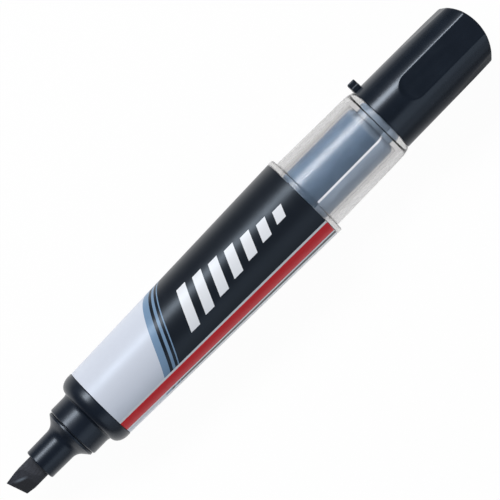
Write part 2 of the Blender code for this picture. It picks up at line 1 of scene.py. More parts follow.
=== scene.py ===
"""Looks of a cartridge whiteboard marker that lies on a pale floor with its cap on its tail.

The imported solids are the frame. Each piece is modelled again as a smooth mesh in the same place,
rides on the same body and stands for its solid. Lengths are in metres. The marker's axis runs
along X, with the nib at -X and the cap at +X. Turned outlines are lists of corners, each with its
place along the axis and its radius. In the finishes, gloss is the shader's roughness, and the scale
of a noise is in bumps to the metre.
"""

import logging
import math
from collections.abc import Callable, Sequence
from dataclasses import dataclass
from enum import Enum

import bmesh
import bpy
from mathutils import Matrix, Vector


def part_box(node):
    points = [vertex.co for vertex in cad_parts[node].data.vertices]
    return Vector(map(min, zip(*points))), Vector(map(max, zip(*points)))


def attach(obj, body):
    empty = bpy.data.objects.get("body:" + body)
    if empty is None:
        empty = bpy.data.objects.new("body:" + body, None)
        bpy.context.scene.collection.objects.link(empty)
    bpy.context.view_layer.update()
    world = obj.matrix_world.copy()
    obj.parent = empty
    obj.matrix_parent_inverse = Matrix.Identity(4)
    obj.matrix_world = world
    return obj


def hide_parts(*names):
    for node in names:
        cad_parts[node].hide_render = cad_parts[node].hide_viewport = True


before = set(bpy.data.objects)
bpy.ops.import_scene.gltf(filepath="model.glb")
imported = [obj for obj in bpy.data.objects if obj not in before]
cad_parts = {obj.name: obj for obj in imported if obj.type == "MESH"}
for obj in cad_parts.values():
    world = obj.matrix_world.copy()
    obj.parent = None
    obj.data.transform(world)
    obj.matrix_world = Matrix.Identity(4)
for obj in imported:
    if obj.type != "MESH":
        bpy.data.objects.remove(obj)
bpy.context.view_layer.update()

LOG = logging.getLogger("marker")
MM = 0.001
WELD = 0.0005 * MM
SIDES = 192
FINE_SIDES = 256
SMALL_SIDES = 96
ARC_STEP = math.radians(5.0)
SMOOTH_ANGLE = math.radians(25.0)
BEVEL_ANGLE = math.radians(30.0)
WHITE = (1.0, 1.0, 1.0)
PLASTIC_IOR = 1.5
NOISE_SPAN = (0.3, 0.7)

Colour = tuple[float, float, float]
Stretch = tuple[float, float, float]
Point = tuple[float, float]
Socket = bpy.types.NodeSocket
Piece = bpy.types.Object


class Body(Enum):
    """Bodies of the frame that the pieces ride on."""

    MARKER = "body"
    CARTRIDGE = "cartridge"
    TAIL = "tail"
    LINER = "liner"
    CAP = "cap"


class Slot(Enum):
    """Material slots of the record."""

    FELT = "inked_felt"
    BLACK = "black_plastic"
    PALE = "pale_plastic"
    FILM = "printed_film"
    FIBRE = "wick_fibre"
    CARTRIDGE = "cartridge_plastic"
    RUBBER = "seal_rubber"
    INK = "black_ink"
    CLEAR = "clear_plastic"
    LINER = "liner_plastic"


class Cut(Enum):
    """What a tool does to a piece."""

    JOIN = "UNION"
    REMOVE = "DIFFERENCE"


class Detail(Enum):
    """How many finer layers a noise has."""

    PLAIN = 2.0
    BROKEN = 3.0
    FINE = 4.0


@dataclass(frozen=True)
class Corner:
    """Corner of a turned outline.

    Attributes:
        x: place along the axis.
        radius: distance from the axis.
        soft: radius of the round that replaces the corner, 0 for a sharp one.
    """

    x: float
    radius: float
    soft: float = 0.0


def axis_height() -> float:
    """Height of the marker's axis above the ground."""
    low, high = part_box("tail_barrel")
    return (low.z + high.z) / 2


AXIS = axis_height()


def front_of(node: str) -> float:
    """Place along X where a node of the frame starts."""
    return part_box(node)[0].x


def rear_of(node: str) -> float:
    """Place along X where a node of the frame ends."""
    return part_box(node)[1].x


def ends_of(node: str) -> Point:
    """Places along X where a node of the frame starts and ends."""
    return front_of(node), rear_of(node)


def shifted(corners: Sequence[Corner], start: float) -> list[Corner]:
    """Corners moved along the axis, from a piece's own front to its place."""
    return [Corner(start + corner.x, corner.radius, corner.soft) for corner in corners]


def shaded(colour: Colour, share: float) -> Colour:
    """Colour made lighter by a share of itself, or darker where the share is below 0."""
    return tuple(part * (1 + share) for part in colour)


def sweep(start: Point, end: Point, square_start: bool) -> list[Corner]:
    """Corners along a quarter ellipse of an outline.

    Args:
        start: first point, as place along the axis and radius.
        end: last point.
        square_start: whether the curve leaves start square to the axis, or else along it.

    Returns:
        The corners, both ends included.
    """
    steps = round(math.pi / 2 / ARC_STEP)
    corners = []
    for step in range(steps + 1):
        turn = step / steps * math.pi / 2
        along, across = 1 - math.cos(turn), math.sin(turn)
        if not square_start:
            along, across = across, along
        corners.append(
            Corner(start[0] + (end[0] - start[0]) * along, start[1] + (end[1] - start[1]) * across)
        )
    return corners


def softened(corners: Sequence[Corner], closed: bool) -> list[Point]:
    """Points of an outline with its soft corners rounded.

    Args:
        corners: the outline's corners in order.
        closed: whether the last corner joins the first.

    Returns:
        The points in order, each as place along the axis and radius.
    """
    points: list[Point] = []
    count = len(corners)
    for index, corner in enumerate(corners):
        here = Vector((corner.x, corner.radius))
        at_end = not closed and index in (0, count - 1)
        if at_end or corner.soft == 0:
            points.append(tuple(here))
            continue
        before, after = corners[index - 1], corners[(index + 1) % count]
        to_before = (Vector((before.x, before.radius)) - here).normalized()
        to_after = (Vector((after.x, after.radius)) - here).normalized()
        half = to_before.angle(to_after) / 2
        centre = here + (to_before + to_after).normalized() * corner.soft / math.sin(half)
        first = here + to_before * corner.soft / math.tan(half) - centre
        last = here + to_after * corner.soft / math.tan(half) - centre
        bend = math.atan2(first.x * last.y - first.y * last.x, first.dot(last))
        steps = max(2, math.ceil(abs(bend) / ARC_STEP))
        for step in range(steps + 1):
            spoke = first.copy()
            spoke.rotate(Matrix.Rotation(bend * step / steps, 2))
            points.append(tuple(centre + spoke))
    return points


def deselect() -> None:
    """Leave edit mode and deselect every object, the frame's included."""
    if bpy.context.mode != "OBJECT":
        bpy.ops.object.mode_set(mode="OBJECT")
    bpy.ops.object.select_all(action="DESELECT")


def draw(points: Sequence[Vector], closed: bool) -> Piece:
    """Draw a line of edges in edit mode by extruding one vertex from point to point.

    Args:
        points: places of the vertices.
        closed: whether the line comes back to its first point.

    Returns:
        The new object, left in edit mode with all of it selected.
    """
    deselect()
    bpy.ops.mesh.primitive_plane_add(size=MM, enter_editmode=True)
    bpy.ops.mesh.merge(type="CENTER")
    bpy.ops.transform.translate(value=points[0])
    trail = list(points) + ([points[0]] if closed else [])
    for here, after in zip(trail, trail[1:]):
        bpy.ops.mesh.extrude_vertices_move(TRANSFORM_OT_translate={"value": after - here})
    bpy.ops.mesh.select_all(action="SELECT")
    bpy.ops.mesh.remove_doubles(threshold=WELD)
    return bpy.context.active_object


def close_up(piece: Piece) -> Piece:
    """Merge a mesh's doubles, turn its faces outwards and leave edit mode.

    Args:
        piece: the object, in edit mode.

    Returns:
        The same object, in object mode.
    """
    bpy.ops.mesh.select_all(action="SELECT")
    bpy.ops.mesh.remove_doubles(threshold=WELD)
    bpy.ops.mesh.normals_make_consistent(inside=False)
    bpy.ops.object.mode_set(mode="OBJECT")
    return piece


def turned(corners: Sequence[Corner], closed: bool = True, sides: int = SIDES) -> Piece:
    """Turn an outline round the marker's axis.

    Args:
        corners: the outline's corners.
        closed: whether the outline is a ring's, or else starts and ends on the axis.
        sides: facets round the piece.

    Returns:
        The turned object.
    """
    points = [Vector((x, 0, AXIS + radius)) for x, radius in softened(corners, closed)]
    piece = draw(points, closed)
    bpy.ops.mesh.spin(
        steps=sides, angle=2 * math.pi, center=(0, 0, AXIS), axis=(1, 0, 0), use_auto_merge=True
    )
    return close_up(piece)


def prism(outline: Sequence[Point], low: float, high: float) -> Piece:
    """Raise an outline in the XY plane to a solid.

    Args:
        outline: corners as X and Y.
        low: height of the outline above the axis.
        high: height of the solid's far face above the axis.

    Returns:
        The solid.
    """
    piece = draw([Vector((x, y, AXIS + low)) for x, y in outline], True)
    bpy.ops.mesh.edge_face_add()
    bpy.ops.mesh.extrude_region_move(TRANSFORM_OT_translate={"value": (0, 0, high - low)})
    return close_up(piece)


def block(size: Sequence[float], centre: Sequence[float]) -> Piece:
    """Add a cube and give it its size and place.

    Args:
        size: lengths along X, Y and Z.
        centre: its middle.

    Returns:
        The block, left in edit mode with all of it selected.
    """
    deselect()
    bpy.ops.mesh.primitive_cube_add(size=1.0, enter_editmode=True)
    bpy.ops.transform.resize(value=size)
    bpy.ops.transform.translate(value=centre)
    return bpy.context.active_object


def apply(piece: Piece, modifier: bpy.types.Modifier) -> None:
    """Apply a modifier to its piece.

    Args:
        piece: the object.
        modifier: one of its modifiers.
    """
    deselect()
    bpy.context.view_layer.objects.active = piece
    bpy.ops.object.modifier_apply(modifier=modifier.name)


def soften(piece: Piece, width: float, steps: int) -> None:
    """Round a piece's edges, apart from the blunt ones.

    Args:
        piece: the object.
        width: how far a round reaches to each side of its edge.
        steps: facets across a round.
    """
    modifier = piece.modifiers.new("soften", "BEVEL")
    modifier.width = width
    modifier.segments = steps
    modifier.limit_method = "ANGLE"
    modifier.angle_limit = BEVEL_ANGLE
    apply(piece, modifier)


def carve(piece: Piece, tool: Piece, cut: Cut) -> None:
    """Shape a piece with another solid, which is used up.

    Args:
        piece: what is shaped.
        tool: the solid that shapes it.
        cut: whether the tool is joined on or taken away.
    """
    modifier = piece.modifiers.new("carve", "BOOLEAN")
    modifier.operation = cut.value
    modifier.solver = "EXACT"
    modifier.object = tool
    apply(piece, modifier)
    bpy.data.objects.remove(tool, do_unlink=True)


def displace(piece: Piece, move: Callable[[float, float, float], float]) -> None:
    """Move a mesh's vertices, seen as place along the axis, radius and angle from straight up.

    Args:
        piece: the object whose mesh is moved.
        move: function from (x, radius, angle) to the new radius.
    """
    for vertex in piece.data.vertices:
        x, y, z = vertex.co
        radius, angle = math.hypot(y, z - AXIS), math.atan2(y, z - AXIS)
        if radius > WELD:
            share = move(x, radius, angle) / radius
            vertex.co = (x, y * share, AXIS + (z - AXIS) * share)
    piece.data.update()


def settle(
    piece: Piece,
    name: str,
    body: Body,
    material: bpy.types.Material,
    smooth: float = SMOOTH_ANGLE,
) -> None:
    """Name, shade and dress a finished mesh, and set it on its body in place of its solid.

    Args:
        piece: the finished object.
        name: name of the solid that it stands for.
        body: the body that it rides on.
        material: what it is dressed in.
        smooth: angle up to which the faces are shaded as one.
    """
    deselect()
    piece.name = f"{name}_look"
    piece.data.name = piece.name
    piece.select_set(True)
    bpy.context.view_layer.objects.active = piece
    bpy.ops.object.shade_smooth_by_angle(angle=smooth)
    piece.data.materials.clear()
    piece.data.materials.append(material)
    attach(piece, body.value)
    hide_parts(name)
    LOG.info("%s: %d faces on %s", piece.name, len(piece.data.polygons), body.value)


class Nodes:
    """Lays out the nodes of one material round its Principled shader."""

    def __init__(self, name: str) -> None:
        """Start a material with a Principled shader and the piece's own coordinates.

        Args:
            name: name of the material.
        """
        self.material = bpy.data.materials.new(name)
        self.material.use_nodes = True
        self.tree = self.material.node_tree
        self.shader = self.tree.nodes["Principled BSDF"]
        self.output = self.tree.nodes["Material Output"]
        self.place = self.add("ShaderNodeTexCoord").outputs["Object"]

    def add(self, kind: str) -> bpy.types.Node:
        """Add a node of a kind."""
        return self.tree.nodes.new(kind)

    def feed(self, socket: Socket, value: Socket | float | Colour) -> None:
        """Link a socket to another, or set its own value.

        Args:
            socket: the socket that is fed.
            value: the other socket, the number or the colour.
        """
        if isinstance(value, bpy.types.NodeSocket):
            self.tree.links.new(value, socket)
        else:
            socket.default_value = (*value, 1.0) if isinstance(value, tuple) else value

    def set(self, **values: Socket | float | Colour) -> None:
        """Set or link the shader's sockets, named with _ for each space."""
        for name, value in values.items():
            self.feed(self.shader.inputs[name.replace("_", " ")], value)

    def math(self, operation: str, first: Socket | float, second: Socket | float = 0.0) -> Socket:
        """Result of a Math node.

        Args:
            operation: what the node does.
            first: its first value.
            second: its second value.

        Returns:
            The result.
        """
        node = self.add("ShaderNodeMath")
        node.operation = operation
        self.feed(node.inputs[0], first)
        self.feed(node.inputs[1], second)
        return node.outputs[0]

    def parts(self) -> tuple[Socket, Socket, Socket]:
        """The piece's own X, Y and Z.

        Returns:
            The three sockets.
        """
        node = self.add("ShaderNodeSeparateXYZ")
        self.feed(node.inputs[0], self.place)
        return node.outputs[0], node.outputs[1], node.outputs[2]

    def stretched(self, scale: Stretch) -> Socket:
        """The piece's coordinates, scaled along each axis.

        Args:
            scale: how many times closer a pattern gets along X, Y and Z.

        Returns:
            The scaled coordinates.
        """
        node = self.add("ShaderNodeMapping")
        self.feed(node.inputs["Vector"], self.place)
        node.inputs["Scale"].default_value = scale
        return node.outputs[0]

    def noise(self, scale: float, detail: Detail, at: Socket | None = None) -> Socket:
        """Even noise all through the piece.

        Args:
            scale: about how many bumps there are to the metre.
            detail: how many finer layers it has.
            at: coordinates to use in place of the piece's own.

        Returns:
            The noise, about 0 to 1.
        """
        node = self.add("ShaderNodeTexNoise")
        self.feed(node.inputs["Vector"], self.place if at is None else at)
        node.inputs["Scale"].default_value = scale
        node.inputs["Detail"].default_value = detail.value
        return node.outputs["Fac"]

    def ranged(self, value: Socket, start: Point, end: Point) -> Socket:
        """Map a value from one range to another, and clamp it there.

        Args:
            value: what is mapped.
            start: lowest and highest value read.
            end: what they become.

        Returns:
            The mapped value.
        """
        node = self.add("ShaderNodeMapRange")
        for socket, number in zip(node.inputs[1:5], (*start, *end)):
            socket.default_value = number
        self.feed(node.inputs[0], value)
        return node.outputs[0]

    def blend(self, share: Socket, first: Socket | Colour, second: Socket | Colour) -> Socket:
        """Mix of two colours.

        Args:
            share: how much of the second colour shows.
            first: colour where share is 0.
            second: colour where share is 1.

        Returns:
            The mixed colour.
        """
        node = self.add("ShaderNodeMix")
        node.data_type = "RGBA"
        self.feed(node.inputs["Factor"], share)
        colours = [socket for socket in node.inputs if socket.type == "RGBA"]
        for socket, colour in zip(colours, (first, second)):
            self.feed(socket, colour)
        return next(socket for socket in node.outputs if socket.type == "RGBA")

    def between(self, value: Socket, span: Point) -> Socket:
        """1 where a value is inside a span, else 0."""
        above = self.math("GREATER_THAN", value, span[0])
        return self.math("MULTIPLY", above, self.math("LESS_THAN", value, span[1]))

    def round_axis(self, y: Socket, z: Socket) -> Socket:
        """Angle round the marker's axis from straight up, positive towards +Y."""
        return self.math("ARCTAN2", y, self.math("SUBTRACT", z, AXIS))

    def cover(self, share: Socket, layer: bpy.types.Node) -> None:
        """Show another shader in place of the Principled one, by a share.

        Args:
            share: how much of the other shader shows.
            layer: the other shader's node.
        """
        mix = self.add("ShaderNodeMixShader")
        for socket, value in zip(mix.inputs, (share, self.shader.outputs[0], layer.outputs[0])):
            self.feed(socket, value)
        self.feed(self.output.inputs["Surface"], mix.outputs[0])

    def bump(self, height: Socket, depth: float) -> None:
        """Roughen the surface.

        Args:
            height: height of the surface, 0 to 1.
            depth: what a height of 1 stands for, in metres.
        """
        node = self.add("ShaderNodeBump")
        node.inputs["Strength"].default_value = 1.0
        node.inputs["Distance"].default_value = depth
        self.feed(node.inputs["Height"], height)
        self.feed(self.shader.inputs["Normal"], node.outputs[0])


@dataclass(frozen=True)
class MouldedPlastic:
    """Opaque moulded plastic with a faint orange peel, cloudy gloss and fine rub marks."""

    name: str
    colour: Colour
    gloss: Point
    shine: Colour = WHITE
    tint: float = 0.25
    peel: float = 1400.0
    peel_depth: float = 0.0003 * MM
    rub: float = 260.0
    rub_stretch: Stretch = (0.35, 3.0, 3.0)
    rub_span: Point = (0.12, 0.4)

    def material(self) -> bpy.types.Material:
        """The finish as nodes.

        Returns:
            The material.
        """
        nodes = Nodes(self.name)
        cloud = nodes.noise(self.rub, Detail.FINE)
        rubs = nodes.noise(self.rub, Detail.BROKEN, nodes.stretched(self.rub_stretch))
        rubs_and_painted_highlight = nodes.math("MULTIPLY", cloud, rubs)
        nodes.set(
            Base_Color=nodes.blend(cloud, shaded(self.colour, -self.tint), shaded(self.colour, self.tint)),
            Roughness=nodes.ranged(rubs_and_painted_highlight, self.rub_span, self.gloss),
            IOR=PLASTIC_IOR,
            Specular_Tint=self.shine,
        )
        nodes.bump(nodes.noise(self.peel, Detail.PLAIN), self.peel_depth)
        return nodes.material


@dataclass(frozen=True)
class InkedFelt:
    """Pressed fibre soaked in black ink: short fibres along the axis and a broken surface."""

    name: str = "inked_felt"
    dark: Colour = (0.005, 0.006, 0.0105)
    worn: Colour = (0.044, 0.05, 0.068)
    fibre: float = 900.0
    fibre_depth: float = 0.05 * MM
    strand_stretch: Stretch = (1.0, 5.0, 5.0)
    strand_share: float = 0.6
    crumbs_to_strand: float = 5.0
    worn_span: Point = (0.32, 0.7)
    gloss: Point = (0.62, 0.9)
    sheen: float = 0.15
    sheen_gloss: float = 0.5

    def dye(self, nodes: Nodes, share: Socket) -> Socket:
        """Colour of the felt, from the share of worn fibres."""
        return nodes.blend(share, self.dark, self.worn)

    def material(self) -> bpy.types.Material:
        """The finish as nodes.

        Returns:
            The material.
        """
        nodes = Nodes(self.name)
        strands = nodes.noise(self.fibre, Detail.BROKEN, nodes.stretched(self.strand_stretch))
        crumbs = nodes.noise(self.crumbs_to_strand * self.fibre, Detail.BROKEN)
        mixed = nodes.math(
            "ADD",
            nodes.math("MULTIPLY", strands, self.strand_share),
            nodes.math("MULTIPLY", crumbs, 1 - self.strand_share),
        )
        nodes.set(
            Base_Color=self.dye(nodes, nodes.ranged(mixed, self.worn_span, (0.0, 1.0))),
            Roughness=nodes.ranged(crumbs, NOISE_SPAN, self.gloss),
            Sheen_Weight=self.sheen,
            Sheen_Roughness=self.sheen_gloss,
        )
        nodes.bump(mixed, self.fibre_depth)
        return nodes.material


@dataclass(frozen=True)
class ChiselFelt(InkedFelt):
    """Felt of the nib, with painted shade on its cut and towards its low side, and a painted highlight
    along the ridge between the cut and the rest.
    """

    front: float = 0.0
    # Painted shade: the felt darkens towards its low side and on its cut face.
    low_side_shade_span: Point = (-2.2 * MM, 1.6 * MM)
    low_side_shade: float = 0.4
    cut_shade: float = 0.08
    # Colour of a painted highlight along the ridge, whose line also bounds the shaded cut.
    rubs_and_painted_highlight: Colour = (0.13, 0.155, 0.19)
    ridge: float = 1.62 * MM
    ridge_slope: float = 0.385
    ridge_width: float = 0.45 * MM
    ridge_middle: float = 2.7 * MM
    ridge_reach: Point = (0.3 * MM, 1.6 * MM)
    cut_end: float = 3.94 * MM
    cut_slope: float = 0.29
    blur: float = 0.3 * MM

    def dye(self, nodes: Nodes, share: Socket) -> Socket:
        """Colour of the felt, from the share of worn fibres, with painted shade on the cut and towards the
        low side, and a painted highlight along the ridge.

        Args:
            nodes: the material's nodes.
            share: share of worn fibres.

        Returns:
            The colour.
        """
        x, y, _ = nodes.parts()
        along = nodes.math("SUBTRACT", x, self.front)
        slanted = nodes.math("ADD", y, nodes.math("MULTIPLY", along, self.ridge_slope))
        above = nodes.math("SUBTRACT", slanted, self.ridge)
        skewed = nodes.math("ADD", along, nodes.math("MULTIPLY", y, self.cut_slope))
        behind = nodes.math("SUBTRACT", skewed, self.cut_end)
        past = nodes.math("MAXIMUM", above, behind)
        # Painted shade: dark on the cut face, and darker towards the low side.
        off_cut = nodes.ranged(past, (-self.blur, self.blur), (self.cut_shade, 1.0))
        lit = nodes.math("MULTIPLY", off_cut, nodes.ranged(y, self.low_side_shade_span, (self.low_side_shade, 1.0)))
        colour = super().dye(nodes, nodes.math("MULTIPLY", share, lit))
        # Painted highlight along the ridge, strongest at its middle.
        off_middle = nodes.math("ABSOLUTE", nodes.math("SUBTRACT", along, self.ridge_middle))
        painted_ridge_highlight = nodes.math(
            "MULTIPLY",
            nodes.ranged(nodes.math("ABSOLUTE", above), (0.0, self.ridge_width), (1.0, 0.0)),
            nodes.ranged(off_middle, self.ridge_reach, (1.0, 0.0)),
        )
        return nodes.blend(painted_ridge_highlight, colour, self.rubs_and_painted_highlight)


@dataclass(frozen=True)
class PrintedFilm:
    """Glossy film with a plain printed design: a silver front, slanted stripes, bars and lines."""

    front: float
    name: str = "printed_film"
    radius: float = 9.2 * MM
    silver: Colour = (0.6, 0.64, 0.73)
    black: Colour = (0.0085, 0.0115, 0.0175)
    steel: Colour = (0.17, 0.27, 0.41)
    white: Colour = (0.76, 0.78, 0.82)
    red: Colour = (0.7, 0.011, 0.018)
    edge_place: float = 16.0 * MM
    edge_slant: float = 0.45
    stripes: tuple[Point, ...] = ((0.0, 1.7 * MM), (2.5 * MM, 3.2 * MM), (3.9 * MM, 4.2 * MM))
    bar_start: float = 25.0 * MM
    bar_end: float = 54.0 * MM
    bar_pitch: float = 4.4 * MM
    bar_width: float = 2.5 * MM
    bar_centre: float = 0.8 * MM
    bar_heights: Point = (4.3 * MM, 1.2 * MM)
    line_span: Point = (-10.6 * MM, -7.3 * MM)
    line_border: float = 0.55 * MM
    foot_span: Point = (-13.8 * MM, -12.2 * MM)
    gloss: Point = (0.31, 0.36)
    shine: Colour = (0.47, 0.55, 0.64)
    haze: float = 300.0
    ripple: float = 120.0
    ripple_depth: float = 0.0015 * MM

    def bars(self, nodes: Nodes, along: Socket, round_it: Socket) -> Socket:
        """Mask of the row of slanted bars, which get shorter towards the rear.

        Args:
            nodes: the material's nodes.
            along: distance from the film's front edge.
            round_it: distance round the film from straight up.

        Returns:
            1 on a bar, else 0.
        """
        leaned = nodes.math("SUBTRACT", along, nodes.math("MULTIPLY", round_it, self.edge_slant))
        started = nodes.math("SUBTRACT", leaned, self.bar_start)
        within = nodes.math("MODULO", started, self.bar_pitch)
        row = nodes.between(leaned, (self.bar_start, self.bar_end))
        bar = nodes.math("MULTIPLY", row, nodes.math("LESS_THAN", within, self.bar_width))
        place = nodes.math("FLOOR", nodes.math("DIVIDE", started, self.bar_pitch))
        last = math.floor((self.bar_end - self.bar_start) / self.bar_pitch)
        half = nodes.ranged(place, (0.0, last), self.bar_heights)
        off_centre = nodes.math("ABSOLUTE", nodes.math("SUBTRACT", round_it, self.bar_centre))
        return nodes.math("MULTIPLY", bar, nodes.math("LESS_THAN", off_centre, half))

    def material(self) -> bpy.types.Material:
        """The finish as nodes.

        Returns:
            The material.
        """
        nodes = Nodes(self.name)
        x, y, z = nodes.parts()
        along = nodes.math("SUBTRACT", x, self.front)
        round_it = nodes.math("MULTIPLY", nodes.round_axis(y, z), self.radius)
        edge = nodes.math("ADD", nodes.math("MULTIPLY", round_it, self.edge_slant), self.edge_place)
        past_edge = nodes.math("SUBTRACT", along, edge)
        colour = nodes.blend(nodes.math("GREATER_THAN", past_edge, 0.0), self.silver, self.black)
        for stripe in self.stripes:
            colour = nodes.blend(nodes.between(past_edge, stripe), colour, self.steel)
        colour = nodes.blend(self.bars(nodes, along, round_it), colour, self.white)
        low, high = self.line_span
        bordered = (low - self.line_border, high + self.line_border)
        colour = nodes.blend(nodes.between(round_it, bordered), colour, self.white)
        colour = nodes.blend(nodes.between(round_it, self.line_span), colour, self.red)
        colour = nodes.blend(nodes.between(round_it, self.foot_span), colour, self.white)
        nodes.set(
            Base_Color=colour,
            Roughness=nodes.ranged(nodes.noise(self.haze, Detail.BROKEN), NOISE_SPAN, self.gloss),
            Specular_Tint=self.shine,
            IOR=PLASTIC_IOR,
        )
        nodes.bump(nodes.noise(self.ripple, Detail.PLAIN), self.ripple_depth)
        return nodes.material


@dataclass(frozen=True)
class ClearPlastic:
    """Clear moulded plastic with a soft skin, which lets lamps shine through."""

    name: str
    colour: Colour
    gloss: float
    skin: float = 0.0
    skin_gloss: float = 0.25
    shine: Colour = (0.05, 0.05, 0.05)
    passing: Colour = (0.93, 0.93, 0.93)

    def material(self) -> bpy.types.Material:
        """The finish as nodes.

        Returns:
            The material.
        """
        nodes = Nodes(self.name)
        nodes.set(
            Base_Color=self.colour,
            Roughness=self.gloss,
            IOR=PLASTIC_IOR,
            Specular_Tint=self.shine,
            Transmission_Weight=1.0,
            Coat_Weight=self.skin,
            Coat_Roughness=self.skin_gloss,
        )
        passing = nodes.add("ShaderNodeBsdfTransparent")
        nodes.feed(passing.inputs["Color"], self.passing)
        nodes.cover(nodes.add("ShaderNodeLightPath").outputs["Is Shadow Ray"], passing)
        return nodes.material


@dataclass(frozen=True)
class CloudyPlastic:
    """Milky resin with flow marks from its mould."""

    name: str
    colour: Colour
    marks: Colour
    gloss: Point = (0.28, 0.4)
    flow: float = 160.0
    flow_stretch: Stretch = (0.4, 1.5, 1.5)
    flow_span: Point = (0.35, 0.7)
    haze: float = 900.0
    peel: float = 1800.0
    peel_depth: float = 0.002 * MM

    def material(self) -> bpy.types.Material:
        """The finish as nodes.

        Returns:
            The material.
        """
        nodes = Nodes(self.name)
        flow = nodes.noise(self.flow, Detail.FINE, nodes.stretched(self.flow_stretch))
        share = nodes.ranged(flow, self.flow_span, (0.0, 1.0))
        nodes.set(
            Base_Color=nodes.blend(share, self.colour, self.marks),
            Roughness=nodes.ranged(nodes.noise(self.haze, Detail.BROKEN), NOISE_SPAN, self.gloss),
            IOR=PLASTIC_IOR,
        )
        nodes.bump(nodes.noise(self.peel, Detail.PLAIN), self.peel_depth)
        return nodes.material


@dataclass(frozen=True)
class Ink:
    """Ink under the milky skin of its bottle, with painted light: a lighter strip on its -Y side and a
    painted highlight line along the strip's edge nearer the top.
    """

    reach: Point
    name: str = "black_ink"
    skin: Colour = (0.07, 0.108, 0.16)
    # Painted light: a lighter strip on the -Y side and a painted highlight line at its edge nearer the top.
    low_side_light: Colour = (0.31, 0.37, 0.45)
    line: Colour = (0.9, 0.91, 0.93)
    line_span: Point = (math.radians(-28.6), math.radians(-24.6))
    low_side_light_end: float = math.radians(-80.0)
    swirl: float = 160.0
    swirl_tint: float = 0.06
    gloss: float = 0.6
    shine: float = 0.2

    def material(self) -> bpy.types.Material:
        """The finish as nodes.

        Returns:
            The material.
        """
        nodes = Nodes(self.name)
        deep, thin = shaded(self.skin, -self.swirl_tint), shaded(self.skin, self.swirl_tint)
        x, y, z = nodes.parts()
        angle = nodes.round_axis(y, z)
        colour = nodes.blend(nodes.noise(self.swirl, Detail.FINE), deep, thin)
        # Painted light on the -Y side, then a painted highlight line along its edge.
        colour = nodes.blend(nodes.between(angle, (self.low_side_light_end, self.line_span[0])), colour, self.low_side_light)
        line = nodes.math("MULTIPLY", nodes.between(angle, self.line_span), nodes.between(x, self.reach))
        colour = nodes.blend(line, colour, self.line)
        nodes.set(Base_Color=colour, Roughness=self.gloss, IOR=PLASTIC_IOR, Specular_IOR_Level=self.shine)
        return nodes.material


BLUE_SHINE = (0.78, 0.875, 1.0)
BLACK = MouldedPlastic("black_plastic", (0.0045, 0.0082, 0.0165), (0.29, 0.35), BLUE_SHINE)
CAP_BLACK = MouldedPlastic("cap_black_plastic", (0.0055, 0.0095, 0.0172), (0.22, 0.28), BLUE_SHINE)
PALE = MouldedPlastic("pale_plastic", (0.62, 0.63, 0.64), (0.35, 0.5), tint=0.05)
RUBBER = MouldedPlastic(
    "seal_rubber", (0.02, 0.02, 0.022), (0.55, 0.75), peel=3000.0, peel_depth=0.004 * MM
)
FIBRE = InkedFelt("wick_fibre", (0.02, 0.02, 0.024), (0.11, 0.11, 0.12), fibre=1500.0)
CLEAR = ClearPlastic("clear_plastic", (0.93, 0.924, 0.926), 0.08, 0.35)
BOTTLE = ClearPlastic("cartridge_plastic", (0.94, 0.94, 0.945), 0.06)
LINER_RESIN = CloudyPlastic("liner_plastic", (0.62, 0.62, 0.6), (0.7, 0.7, 0.68))


